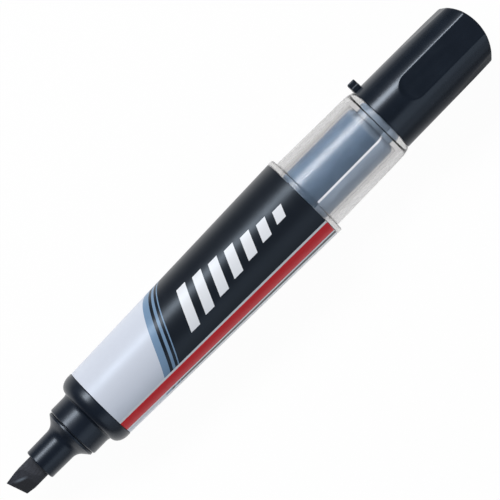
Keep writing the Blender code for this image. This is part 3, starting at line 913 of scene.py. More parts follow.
@dataclass
class Front:
    """Writing end: chisel nib, its holder and the collar that carries them."""

    nib_width: float = 5.2 * MM
    nib_thickness: float = 3.9 * MM
    nib_corner: float = 1.0 * MM
    nib_corner_steps: int = 16
    nib_skew: float = 0.349
    nib_bevel: float = 4.4 * MM
    wear_point: Point = (0.9 * MM, -0.9 * MM)
    wear_lean: Point = (-0.428, -0.32)
    tip_width: float = 4.3 * MM
    tip_thickness: float = 0.8 * MM
    felt_edge: float = 0.14 * MM
    felt_edge_steps: int = 3
    nib_crease: float = math.radians(9.0)
    socket_gap: float = 0.12 * MM
    sleeve_radius: float = 3.65 * MM
    sleeve_root: float = 3.75 * MM
    sleeve_edge: float = 0.3 * MM
    flare_start: float = 7.12 * MM
    flare_soft: float = 2.6 * MM
    plug_front: float = 9.4 * MM
    plug_radius: float = 4.925 * MM
    plug_length: float = 10.5 * MM
    plug_gap: float = 0.15 * MM
    rim_radius: float = 6.025 * MM
    rim_edge: float = 0.12 * MM
    lip_radius: float = 5.95 * MM
    lip_length: float = 0.45 * MM
    lip_gap: float = 0.06 * MM
    socket_floor: float = 13.5 * MM
    nose_bore: float = 3.1 * MM
    seat_radius: float = 6.275 * MM
    seat_lead: float = 0.25 * MM
    seat_length: float = 4.7 * MM
    seat_fillet: Point = (1.2 * MM, 0.35 * MM)
    collar_radius: float = 8.61 * MM
    collar_round: float = 2.8 * MM
    collar_length: float = 3.6 * MM
    collar_edge: float = 0.15 * MM
    spigot_radius: float = 7.08 * MM
    spigot_length: float = 8.2 * MM

    def felt_rod(self, width: float, thickness: float, corner: float, ends: Point) -> Piece:
        """Bar with round edges along the axis.

        Args:
            width: size along Y.
            thickness: size along Z.
            corner: radius of the four long edges.
            ends: where it starts and ends along X.

        Returns:
            The bar, in object mode.
        """
        bar = block((ends[1] - ends[0], width, thickness), ((ends[0] + ends[1]) / 2, 0, AXIS))
        bpy.ops.mesh.select_mode(type="EDGE")
        mesh = bmesh.from_edit_mesh(bar.data)
        for edge in mesh.edges:
            first, second = (vertex.co for vertex in edge.verts)
            edge.select_set(abs(first.x - second.x) > WELD)
        bmesh.update_edit_mesh(bar.data)
        bpy.ops.mesh.bevel(offset=corner, segments=self.nib_corner_steps, affect="EDGES")
        bpy.ops.mesh.select_mode(type="VERT")
        return close_up(bar)

    def slice(self, bar: Piece, point: Vector, normal: Vector) -> None:
        """Cut a bar by a plane and throw away the side that the normal points to.

        Args:
            bar: what is cut.
            point: a point of the plane.
            normal: direction square to the plane.
        """
        deselect()
        bpy.context.view_layer.objects.active = bar
        bpy.ops.object.mode_set(mode="EDIT")
        bpy.ops.mesh.select_all(action="SELECT")
        bpy.ops.mesh.bisect(plane_co=point, plane_no=normal.normalized(), use_fill=True, clear_outer=True)
        close_up(bar)

    def build_nib(self) -> Piece:
        """Felt bar cut to a skewed chisel edge.

        Returns:
            The nib.
        """
        front, rear = ends_of("nib")
        bar = self.felt_rod(self.nib_width, self.nib_thickness, self.nib_corner, (front, rear))
        half_tip = self.tip_width / 2
        narrow = (self.nib_width - self.tip_width) / 2
        left_tip = Vector((front, half_tip, AXIS))
        self.slice(bar, left_tip, Vector((-1, -self.nib_skew, 0)))
        rise = (self.nib_thickness - self.tip_thickness) / 2
        for side in (1, -1):
            lip = left_tip + Vector((0, 0, side * self.tip_thickness / 2))
            self.slice(bar, lip, Vector((-rise, -rise * self.nib_skew, side * self.nib_bevel)))
            cheek = Vector((front, side * half_tip, AXIS))
            self.slice(bar, cheek, Vector((-narrow, side * self.nib_bevel, 0)))
        along, across = self.wear_point
        height = (along + self.nib_skew * across) * rise / self.nib_bevel + self.tip_thickness / 2
        self.slice(bar, left_tip + Vector((along, across, height)), Vector((*self.wear_lean, 1)))
        soften(bar, self.felt_edge, self.felt_edge_steps)
        return bar

    def build_holder(self) -> Piece:
        """Sleeve, flare and plug, with the socket that grips the nib.

        Returns:
            The nib's holder.
        """
        start = front_of("nib_holder")
        rear = self.plug_front + self.plug_length
        lip = self.plug_front - self.lip_gap
        outline = [
            Corner(0, 0),
            Corner(0, self.sleeve_radius, self.sleeve_edge),
            Corner(self.flare_start, self.sleeve_root, self.flare_soft),
            Corner(lip - self.lip_length, self.lip_radius, self.rim_edge),
            Corner(lip, self.lip_radius, self.rim_edge / 2),
            Corner(lip, self.plug_radius),
            Corner(rear, self.plug_radius, self.rim_edge),
            Corner(rear, self.nose_bore),
            Corner(self.socket_floor, self.nose_bore),
            Corner(self.socket_floor, 0),
        ]
        holder = turned(shifted(outline, start), False)
        ends = (start - MM, start + self.socket_floor + MM)
        wide, thick = self.nib_width + 2 * self.socket_gap, self.nib_thickness + 2 * self.socket_gap
        carve(holder, self.felt_rod(wide, thick, self.nib_corner + self.socket_gap, ends), Cut.REMOVE)
        return holder

    def build_collar(self) -> Piece:
        """Seat for the cap, rounded collar and the spigot that goes into the barrel.

        Returns:
            The collar.
        """
        bore = self.plug_radius + self.plug_gap
        foot = (self.seat_length, self.seat_radius + self.seat_fillet[1])
        rear = self.seat_length + self.collar_length
        outline = [
            Corner(0, bore),
            Corner(0, self.rim_radius, self.rim_edge),
            Corner(self.seat_lead, self.seat_radius, self.rim_edge),
            *sweep((self.seat_length - self.seat_fillet[0], self.seat_radius), foot, False),
            *sweep(foot, (self.seat_length + self.collar_round, self.collar_radius), True)[1:],
            Corner(rear, self.collar_radius, self.collar_edge),
            Corner(rear, self.spigot_radius),
            Corner(rear + self.spigot_length, self.spigot_radius, self.collar_edge),
            Corner(rear + self.spigot_length, bore),
        ]
        return turned(shifted(outline, front_of("front_collar")))

    def build(self) -> None:
        """Build and dress the three pieces."""
        black = BLACK.material()
        felt = ChiselFelt(front=front_of("nib")).material()
        settle(self.build_nib(), "nib", Body.MARKER, felt, self.nib_crease)
        settle(self.build_holder(), "nib_holder", Body.MARKER, black)
        settle(self.build_collar(), "front_collar", Body.MARKER, black)


@dataclass(frozen=True)
class Thread:
    """Two-start screw thread between the barrel and the tail."""

    lead: float = 3.0 * MM
    starts: int = 2
    rings: int = 56
    steepness: float = 2.2
    root_share: float = 0.6

    def profile(self, x: float, angle: float, phase: float) -> float:
        """Height of the thread.

        Args:
            x: place along the axis.
            angle: angle from straight up.
            phase: how far the thread is turned, as a share of the step from start to start.

        Returns:
            The height, 0 at the root and 1 at the crest.
        """
        turn = (x / self.lead + angle / (2 * math.pi)) * self.starts + phase
        ridge = 1 - abs(2 * (turn - math.floor(turn)) - 1)
        return min(1.0, max(0.0, self.steepness * ridge - self.root_share))

    def run(self, start: float, end: float, radius: float) -> list[Corner]:
        """Close corners along a straight stretch, to be shaped into a thread."""
        return [Corner(start + (end - start) * step / self.rings, radius) for step in range(self.rings + 1)]

    def cut(self, piece: Piece, root: float, span: Point, depth: float, phase: float) -> None:
        """Shape a straight stretch of a turned piece into the thread.

        Args:
            piece: the turned piece.
            root: radius of the stretch.
            span: where it starts and ends along the axis.
            depth: how far the crest stands out from the root, below 0 inside a bore.
            phase: how far the thread is turned, as a share of the step from start to start.
        """

        def threaded(x: float, radius: float, angle: float) -> float:
            """Radius on the thread, or the old radius away from it."""
            on_stretch = abs(radius - root) < WELD and span[0] < x < span[1]
            return radius + depth * self.profile(x, angle, phase) if on_stretch else radius

        displace(piece, threaded)


@dataclass
class Barrel:
    """Tapered tube with its inner thread, and the film round it."""

    thread: Thread
    front_radius: float = 8.33 * MM
    rear_radius: float = 9.8 * MM
    front_bore: float = 7.23 * MM
    room_bore: float = 7.25 * MM
    ledge_bore: float = 6.33 * MM
    ledge_span: Point = (32.8 * MM, 34.0 * MM)
    thread_bore: float = 8.3 * MM
    thread_depth: float = 0.3 * MM
    thread_length: float = 7.0 * MM
    thread_phase: float = 0.5
    film_front: float = 8.53 * MM
    film_rear: float = 10.0 * MM
    film_thickness: float = 0.15 * MM
    film_edge: float = 0.06 * MM
    edge: float = 0.1 * MM
    overlap: float = math.radians(9.0)
    overlap_rise: float = 0.045 * MM

    def build_barrel(self) -> Piece:
        """Tube with the comb's chamber, a ledge, the cartridge's room and the thread.

        Returns:
            The tube.
        """
        start, rear = ends_of("barrel")
        thread_front = rear - self.thread_length
        ledge_front, ledge_rear = (start + place for place in self.ledge_span)
        tube = turned([
            Corner(start, self.front_bore),
            Corner(start, self.front_radius, self.edge),
            Corner(rear, self.rear_radius, self.edge),
            *self.thread.run(rear, thread_front, self.thread_bore),
            Corner(thread_front, self.room_bore),
            Corner(ledge_rear, self.room_bore),
            Corner(ledge_rear, self.ledge_bore),
            Corner(ledge_front, self.ledge_bore),
            Corner(ledge_front, self.front_bore),
        ])
        span = (thread_front, rear - self.edge)
        self.thread.cut(tube, self.thread_bore, span, -self.thread_depth, self.thread_phase)
        return tube

    def build_film(self) -> Piece:
        """Thin sleeve whose edge laps over itself underneath.

        Returns:
            The film.
        """
        start, rear = ends_of("label_film")
        film = turned([
            Corner(start, self.film_front - self.film_thickness),
            Corner(start, self.film_front, self.film_edge),
            Corner(rear, self.film_rear, self.film_edge),
            Corner(rear, self.film_rear - self.film_thickness),
        ], sides=FINE_SIDES)

        def lapped(x: float, radius: float, angle: float) -> float:
            """Radius of the film with its lap.

            Args:
                x: place along the axis.
                radius: radius without the lap.
                angle: angle from straight up.

            Returns:
                The new radius.
            """
            skin = self.film_front + (self.film_rear - self.film_front) * (x - start) / (rear - start)
            outer = radius > skin - self.film_thickness / 2
            return radius + self.overlap_rise if outer and angle > math.pi - self.overlap else radius

        displace(film, lapped)
        return film

    def build(self) -> None:
        """Build and dress the tube and its film."""
        settle(self.build_barrel(), "barrel", Body.MARKER, PALE.material())
        film = PrintedFilm(front_of("label_film"))
        settle(self.build_film(), "label_film", Body.MARKER, film.material())


@dataclass
class Feed:
    """Wick, comb collector and piercing tube inside the barrel."""

    wick_radius: float = 1.5 * MM
    wick_edge: float = 0.2 * MM
    wick_bore: float = 1.65 * MM
    nose_radius: float = 2.95 * MM
    core_radius: float = 3.45 * MM
    fin_radius: float = 7.08 * MM
    fin_count: int = 11
    fin_pitch: float = 1.8 * MM
    fin_thickness: float = 0.8 * MM
    fin_edge: float = 0.12 * MM
    front_disc: float = 1.5 * MM
    rear_disc: float = 2.2 * MM
    slit_width: float = 0.8 * MM
    tube_radius: float = 2.0 * MM
    tube_bore: float = 1.3 * MM
    tube_gap: float = 0.15 * MM
    tube_seat: float = 4.0 * MM
    tube_slant: float = math.radians(35.0)

    def build_wick(self) -> Piece:
        """Fibre rod.

        Returns:
            The wick.
        """
        front, rear = ends_of("feed_wick")
        return turned([
            Corner(front, 0),
            Corner(front, self.wick_radius, self.wick_edge),
            Corner(rear, self.wick_radius, self.wick_edge),
            Corner(rear, 0),
        ], False, SMALL_SIDES)

    def build_collector(self) -> Piece:
        """Comb of thin fins on a hollow core, with a slit for air along its top.

        Returns:
            The collector.
        """
        start, rear = ends_of("ink_collector")
        comb = rear - self.rear_disc - (self.fin_count + 1) * self.fin_pitch + self.fin_thickness
        outline = [
            Corner(start, self.wick_bore),
            Corner(start, self.nose_radius, self.fin_edge),
            Corner(comb - self.front_disc, self.nose_radius),
            Corner(comb - self.front_disc, self.fin_radius, self.fin_edge),
            Corner(comb, self.fin_radius, self.fin_edge),
            Corner(comb, self.core_radius),
        ]
        for fin in range(self.fin_count):
            front = comb + (fin + 1) * self.fin_pitch - self.fin_thickness
            back = front + self.fin_thickness
            outline += [
                Corner(front, self.core_radius, self.fin_edge),
                Corner(front, self.fin_radius, self.fin_edge),
                Corner(back, self.fin_radius, self.fin_edge),
                Corner(back, self.core_radius, self.fin_edge),
            ]
        disc, seat = rear - self.rear_disc, rear - self.tube_seat
        bore = self.tube_radius + self.tube_gap
        outline += [
            Corner(disc, self.core_radius),
            Corner(disc, self.fin_radius, self.fin_edge),
            Corner(rear, self.fin_radius, self.fin_edge),
            Corner(rear, bore),
            Corner(seat, bore),
            Corner(seat, self.wick_bore),
        ]
        collector = turned(outline, sides=SMALL_SIDES)
        half = self.slit_width / 2
        first, last = comb + self.fin_thickness / 2, disc - self.fin_thickness / 2
        slit = [(first, -half), (last, -half), (last, half), (first, half)]
        carve(collector, prism(slit, self.core_radius, self.fin_radius + MM), Cut.REMOVE)
        return collector

    def build_tube(self) -> Piece:
        """Hollow spike with a slanted tip.

        Returns:
            The spike.
        """
        front, rear = ends_of("piercing_tube")
        tube = turned([
            Corner(front, self.tube_bore),
            Corner(front, self.tube_radius, self.fin_edge),
            Corner(rear, self.tube_radius),
            Corner(rear, self.tube_bore),
        ], sides=SMALL_SIDES)
        middle = (front + rear) / 2
        for vertex in tube.data.vertices:
            if vertex.co.x > middle:
                vertex.co.x += (vertex.co.z - AXIS - self.tube_radius) * math.tan(self.tube_slant)
        return tube

    def build(self) -> None:
        """Build and dress the three pieces."""
        pale = PALE.material()
        settle(self.build_wick(), "feed_wick", Body.MARKER, FIBRE.material())
        settle(self.build_collector(), "ink_collector", Body.MARKER, pale)
        settle(self.build_tube(), "piercing_tube", Body.MARKER, pale)


@dataclass
class Cartridge:
    """Ink bottle with its neck seal, end plug and ink."""

    radius: float = 6.7 * MM
    bore: float = 6.2 * MM
    neck_radius: float = 3.8 * MM
    neck_bore: float = 3.2 * MM
    neck_length: float = 5.0 * MM
    cone_length: float = 3.0 * MM
    shoulder_soft: float = 1.2 * MM
    wall: float = 0.6 * MM
    edge: float = 0.12 * MM
    seal_bore: float = 2.15 * MM
    seal_radius: float = 3.05 * MM
    seal_flange: float = 0.8 * MM
    plug_inset: float = 0.9 * MM
    plug_round: float = 1.2 * MM
    boss_radius: float = 5.2 * MM
    boss_waist: float = 4.7 * MM
    boss_ring: float = 1.1 * MM
    boss_length: float = 4.6 * MM
    ink_gap: float = 0.05 * MM
    highlight_line_front: float = 8.3 * MM
    plug_colour: Colour = (0.112, 0.146, 0.19)

    def build_bottle(self) -> Piece:
        """Thin bottle, open at its neck and at its rear end.

        Returns:
            The bottle.
        """
        front, rear = ends_of("cartridge_bottle")
        neck = front + self.neck_length
        cone = neck + self.cone_length
        return turned([
            Corner(front, self.neck_bore),
            Corner(front, self.neck_radius, self.edge),
            Corner(neck, self.neck_radius, self.shoulder_soft),
            Corner(cone, self.radius, self.shoulder_soft),
            Corner(rear, self.radius, self.edge),
            Corner(rear, self.bore),
            Corner(cone + self.wall, self.bore, self.shoulder_soft),
            Corner(neck + self.wall, self.neck_bore, self.shoulder_soft),
        ])

    def build_seal(self) -> Piece:
        """Rubber ring in the neck.

        Returns:
            The seal.
        """
        front, rear = ends_of("cartridge_seal")
        return turned([
            Corner(front, self.seal_bore, self.edge),
            Corner(front, self.neck_radius, self.edge),
            Corner(front + self.seal_flange, self.neck_radius, self.edge),
            Corner(front + self.seal_flange, self.seal_radius),
            Corner(rear, self.seal_radius, self.edge),
            Corner(rear, self.seal_bore, self.edge),
        ], sides=SMALL_SIDES)

    def build_plug(self) -> Piece:
        """Plug welded into the bottle's rear end, with the stepped boss that centres it in the tail.

        Returns:
            The plug.
        """
        front, rear = front_of("cartridge_end_plug"), rear_of("cartridge_end_plug") - self.plug_inset
        waist = rear + self.boss_ring
        collar = waist + self.boss_ring
        return turned([
            Corner(front, 0),
            Corner(front, self.bore - self.ink_gap),
            Corner(rear, self.bore - self.ink_gap, self.plug_round),
            Corner(rear, self.boss_waist, self.edge),
            Corner(waist, self.boss_waist, self.edge),
            Corner(waist, self.boss_radius, self.edge),
            Corner(collar, self.boss_radius, self.edge),
            Corner(collar, self.boss_waist, self.edge),
            Corner(rear + self.boss_length, self.boss_waist, self.edge),
            Corner(rear + self.boss_length, 0),
        ], False)

    def build_ink(self) -> Piece:
        """Ink that fills the bottle.

        Returns:
            The ink.
        """
        front, rear = front_of("cartridge_ink"), front_of("cartridge_end_plug")
        cone = front_of("cartridge_bottle") + self.neck_length + self.cone_length + self.wall + self.ink_gap
        inner = self.bore - self.ink_gap
        return turned([
            Corner(front, 0),
            Corner(front, self.neck_bore - self.ink_gap, self.edge),
            Corner(cone, inner, self.shoulder_soft),
            Corner(rear, inner),
            Corner(rear, 0),
        ], False)

    def build(self) -> None:
        """Build and dress the four pieces."""
        # Where the ink's painted highlight line runs along X.
        reach = (front_of("tail_barrel") + self.highlight_line_front, rear_of("cartridge_end_plug") - self.plug_inset)
        ink = Ink(reach).material()
        plug = Ink(reach, "cartridge_plug", self.plug_colour).material()
        settle(self.build_bottle(), "cartridge_bottle", Body.CARTRIDGE, BOTTLE.material())
        settle(self.build_seal(), "cartridge_seal", Body.CARTRIDGE, RUBBER.material())
        settle(self.build_plug(), "cartridge_end_plug", Body.CARTRIDGE, plug)
        settle(self.build_ink(), "cartridge_ink", Body.CARTRIDGE, ink)


@dataclass
class Tail:
    """Clear rear barrel with its thread, flange, shoulder and the stub that takes the cap."""

    thread: Thread
    bore: float = 7.25 * MM
    thread_radius: float = 8.15 * MM
    thread_depth: float = 0.3 * MM
    thread_length: float = 6.9 * MM
    thread_phase: float = 0.0
    lead_in: float = 0.4 * MM
    flange_length: float = 1.15 * MM
    flange_edge: float = 0.3 * MM
    body_length: float = 18.1 * MM
    front_radius: float = 8.83 * MM
    rear_radius: float = 8.53 * MM
    root_soft: float = 0.25 * MM
    shoulder_length: float = 3.4 * MM
    shoulder_radius: float = 7.775 * MM
    stub_radius: float = 6.275 * MM
    stub_length: float = 5.0 * MM
    stub_wall: float = 0.9 * MM
    stub_round: float = 0.8 * MM
    seat_floor: float = 1.5 * MM

    def build_shell(self) -> Piece:
        """Turned clear shell with its thread.

        Returns:
            The shell.
        """
        low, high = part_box("tail_barrel")
        spigot = low.x
        flange = spigot + self.thread_length
        front = flange + self.flange_length
        rear = front + self.body_length
        shoulder = rear + self.shoulder_length
        end = shoulder + self.stub_length
        flange_radius = (high.z - low.z) / 2
        root = self.thread_radius - self.thread_depth
        stub_bore = self.stub_radius - self.stub_wall
        stub_face = self.stub_radius - self.stub_round
        seat = shoulder - self.seat_floor
        shell = turned([
            Corner(end - self.stub_wall, 0),
            Corner(end - self.stub_wall, stub_bore, self.root_soft),
            Corner(seat, stub_bore, self.root_soft),
            Corner(seat, self.bore, self.root_soft / 2),
            Corner(spigot, self.bore),
            Corner(spigot, root),
            *self.thread.run(spigot + self.lead_in, flange - self.lead_in, root),
            Corner(flange, root),
            Corner(flange, flange_radius, self.flange_edge / 4),
            Corner(front, flange_radius, self.flange_edge),
            Corner(front, self.front_radius, self.root_soft),
            Corner(front + 2 * self.root_soft, self.front_radius),
            Corner(rear - self.root_soft, self.rear_radius),
            *sweep((rear, self.rear_radius), (shoulder, self.shoulder_radius), False),
            Corner(shoulder, self.stub_radius, self.root_soft),
            *sweep((end - self.stub_round, self.stub_radius), (end, stub_face), False),
            Corner(end, 0),
        ], False, FINE_SIDES)
        self.thread.cut(shell, root, (spigot, flange), self.thread_depth, self.thread_phase)
        return shell

    def build(self) -> None:
        """Build and dress the shell."""
        settle(self.build_shell(), "tail_barrel", Body.TAIL, CLEAR.material())


@dataclass
class Cap:
    """Black cap with an arched end, thumb flats and a tab, and the liner pressed into it."""

    rim_radius: float = 7.875 * MM
    end_radius: float = 7.615 * MM
    mouth_bore: float = 7.025 * MM
    mouth_depth: float = 5.8 * MM
    deep_bore: float = 6.295 * MM
    cavity: float = 23.0 * MM
    cavity_soft: float = 0.6 * MM
    rim_edge: float = 0.2 * MM
    vault_radius: float = 11.1 * MM
    pillow: float = 0.5 * MM
    corner: float = 0.5 * MM
    corner_share: float = 0.7
    facing: float = 0.5
    flat_start: float = 7.3 * MM
    flat_width: float = 7.4 * MM
    flat_front: float = 7.23 * MM
    flat_rear: float = 7.03 * MM
    ramp_slope: float = 0.55
    ramp_soft: float = 0.2 * MM
    side_start: float = 20.7 * MM
    side_slope: float = 0.035
    side_draft: float = 0.25
    edge_soft: float = 0.07 * MM
    wall_rings: int = 150
    end_rings: int = 44
    sides: int = 320
    tip_passes: int = 4
    tab_start: float = 0.05 * MM
    tab_length: float = 1.9 * MM
    tab_foot: Point = (4.6 * MM, 8.725 * MM)
    tab_blade: Point = (3.2 * MM, 9.875 * MM)
    tab_sink: float = 0.4 * MM
    tab_edge: float = 0.28 * MM
    tab_edge_steps: int = 6
    liner_wall: float = 0.5 * MM
    liner_lip: float = 0.8 * MM
    liner_bore: float = 6.425 * MM
    liner_gap: float = 0.1 * MM
    liner_edge: float = 0.15 * MM
    liner_soft: float = 0.4 * MM

    def wall_radius(self, start: float, end: float, x: float) -> float:
        """Radius of the plain tapered wall at a place along X, for a cap that starts and ends as given."""
        return self.rim_radius + (self.end_radius - self.rim_radius) * (x - start) / (end - start)

    def build_blank(self, start: float, end: float) -> Piece:
        """Turned shell with many rings on its skin, before it is shaped.

        Args:
            start: where the cap starts along X.
            end: where it ends.

        Returns:
            The blank.
        """
        front = start + 2 * self.rim_edge
        wall = [front + (end - front) * ring / self.wall_rings for ring in range(self.wall_rings + 1)]
        shares = [math.sin(math.pi / 2 * ring / self.end_rings) for ring in range(self.end_rings)]
        return turned([
            Corner(start + self.cavity, 0),
            Corner(start + self.cavity, self.deep_bore, self.cavity_soft),
            Corner(start + self.mouth_depth, self.deep_bore, self.rim_edge),
            Corner(start + self.mouth_depth, self.mouth_bore),
            Corner(start, self.mouth_bore, self.rim_edge),
            Corner(start, self.rim_radius, self.rim_edge),
            *(Corner(x, self.wall_radius(start, end, x)) for x in wall),
            *(Corner(end, self.end_radius * share) for share in reversed(shares)),
        ], False, self.sides)

    def rounding(self, height: float) -> float:
        """How far along the rounding of the end's upper and lower edge a height is, 0 to 1."""
        straight = self.flat_rear - self.pillow
        return min(1.0, max(0.0, (abs(height) - straight) / self.pillow))

    def vault(self, end: float, y: float, height: float) -> float:
        """Place along X of the arched end, at a distance to the side and a height from the axis.

        Args:
            end: where the cap ends along X.
            y: distance to the side.
            height: height from the axis.

        Returns:
            The place along X.
        """
        share = self.rounding(height)
        radius = self.vault_radius - self.pillow * (1 - math.sqrt(1 - share * share))
        return end - self.vault_radius + math.sqrt(max(0.0, radius * radius - y * y))

    def thumb_flat(self, start: float, end: float, x: float, y: float) -> float:
        """Height of the thumb flat above the axis, with the ramp round its front.

        Args:
            start: where the cap starts along X.
            end: where it ends.
            x: place along X.
            y: distance to the side.

        Returns:
            The height.
        """
        half = self.flat_width / 2
        along = x - start - self.flat_start
        outside = math.hypot(min(0.0, along - half), y) - half
        lift = self.ramp_slope * (outside + math.hypot(outside, self.ramp_soft)) / 2
        sink = (self.flat_front - self.flat_rear) / (end - start - self.flat_start)
        return self.flat_front - sink * along + lift

    def soft_least(self, first: float, second: float) -> float:
        """The lesser of two radii, with the edge between them rounded."""
        near = max(0.0, 1 - abs(first - second) / self.edge_soft)
        return min(first, second) - near * near * self.edge_soft / 4

    def skin(self, start: float, end: float, x: float, angle: float, tip: float) -> float:
        """Radius of the shaped wall.

        Args:
            start: where the cap starts along X.
            end: where it ends.
            x: place along X.
            angle: angle from straight up.
            tip: where the wall meets the arched end at this angle.

        Returns:
            The radius.
        """
        radius = self.wall_radius(start, end, x)
        up, across = abs(math.cos(angle)), abs(math.sin(angle))
        if up > self.facing:
            radius = self.soft_least(radius, self.thumb_flat(start, end, x, radius * across) / up)
        along = x - start - self.side_start
        if across > self.facing and along > -self.flat_width:
            widest = self.wall_radius(start, end, start + self.side_start)
            drafted = across + self.side_draft * up
            radius = self.soft_least(radius, (widest - self.side_slope * along) / drafted)
        bend = max(0.0, self.corner_share * self.corner - (tip - x)) * (1 - self.rounding(radius * up))
        return radius - self.corner + math.sqrt(self.corner**2 - bend**2)

    def shape(self, blank: Piece, start: float, end: float) -> None:
        """Move the blank's skin to the cap's form.

        Args:
            blank: the turned shell.
            start: where the cap starts along X.
            end: where it ends.
        """
        front = start + 2 * self.rim_edge
        for vertex in blank.data.vertices:
            x, y, z = vertex.co
            radius, angle = math.hypot(y, z - AXIS), math.atan2(y, z - AXIS)
            on_end = x > end - WELD
            if not on_end and (x < front - WELD or radius < self.mouth_bore + self.edge_soft):
                continue
            tip, rim = end, self.end_radius
            for _ in range(self.tip_passes):
                rim = self.skin(start, end, tip, angle, tip)
                tip = self.vault(end, rim * math.sin(angle), rim * math.cos(angle))
            if on_end and radius < self.end_radius - WELD:
                share = rim * radius / self.end_radius
                y, height = share * math.sin(angle), share * math.cos(angle)
                vertex.co = (self.vault(end, y, height), y, AXIS + height)
                continue
            x = front + (x - front) * (tip - front) / (end - front)
            radius = self.skin(start, end, x, angle, tip)
            vertex.co = (x, radius * math.sin(angle), AXIS + radius * math.cos(angle))
        blank.data.update()

    def tab_block(self, start: float, width: float, top: float) -> Piece:
        """Block of the tab with soft edges.

        Args:
            start: where the cap starts along X.
            width: size along Z.
            top: how far out it reaches.

        Returns:
            The block.
        """
        root = self.rim_radius - self.tab_sink
        middle = start + self.tab_start + self.tab_length / 2
        tab = close_up(block((self.tab_length, top - root, width), (middle, (top + root) / 2, AXIS)))
        soften(tab, self.tab_edge, self.tab_edge_steps)
        return tab

    def build_shell(self) -> Piece:
        """The shell, shaped from its blank.

        Returns:
            The shell.
        """
        start, end = ends_of("cap_shell")
        shell = self.build_blank(start, end)
        self.shape(shell, start, end)
        for width, top in (self.tab_foot, self.tab_blade):
            carve(shell, self.tab_block(start, width, top), Cut.JOIN)
        return shell

    def build_liner(self) -> Piece:
        """Thin cup with a wider mouth.

        Returns:
            The liner.
        """
        start, rear = front_of("cap_shell"), rear_of("cap_liner")
        step = start + self.mouth_depth - self.liner_gap
        lip = start + self.liner_lip
        outer = self.liner_bore + self.liner_wall
        deep = self.deep_bore - self.liner_gap
        bore = deep - self.liner_wall
        ledge = step - self.liner_wall + self.liner_gap
        return turned([
            Corner(rear - self.liner_wall, 0),
            Corner(rear - self.liner_wall, bore, self.liner_edge),
            Corner(ledge, bore, self.liner_edge),
            Corner(ledge, self.liner_bore),
            Corner(lip, self.liner_bore, self.liner_edge),
            Corner(lip, outer, self.liner_edge),
            Corner(step, outer),
            Corner(step, deep),
            Corner(rear, deep, self.liner_soft),
            Corner(rear, 0),
        ], False)

    def build(self) -> None:
        """Build and dress the shell and its liner."""
        settle(self.build_shell(), "cap_shell", Body.CAP, CAP_BLACK.material())
        settle(self.build_liner(), "cap_liner", Body.LINER, LINER_RESIN.material())


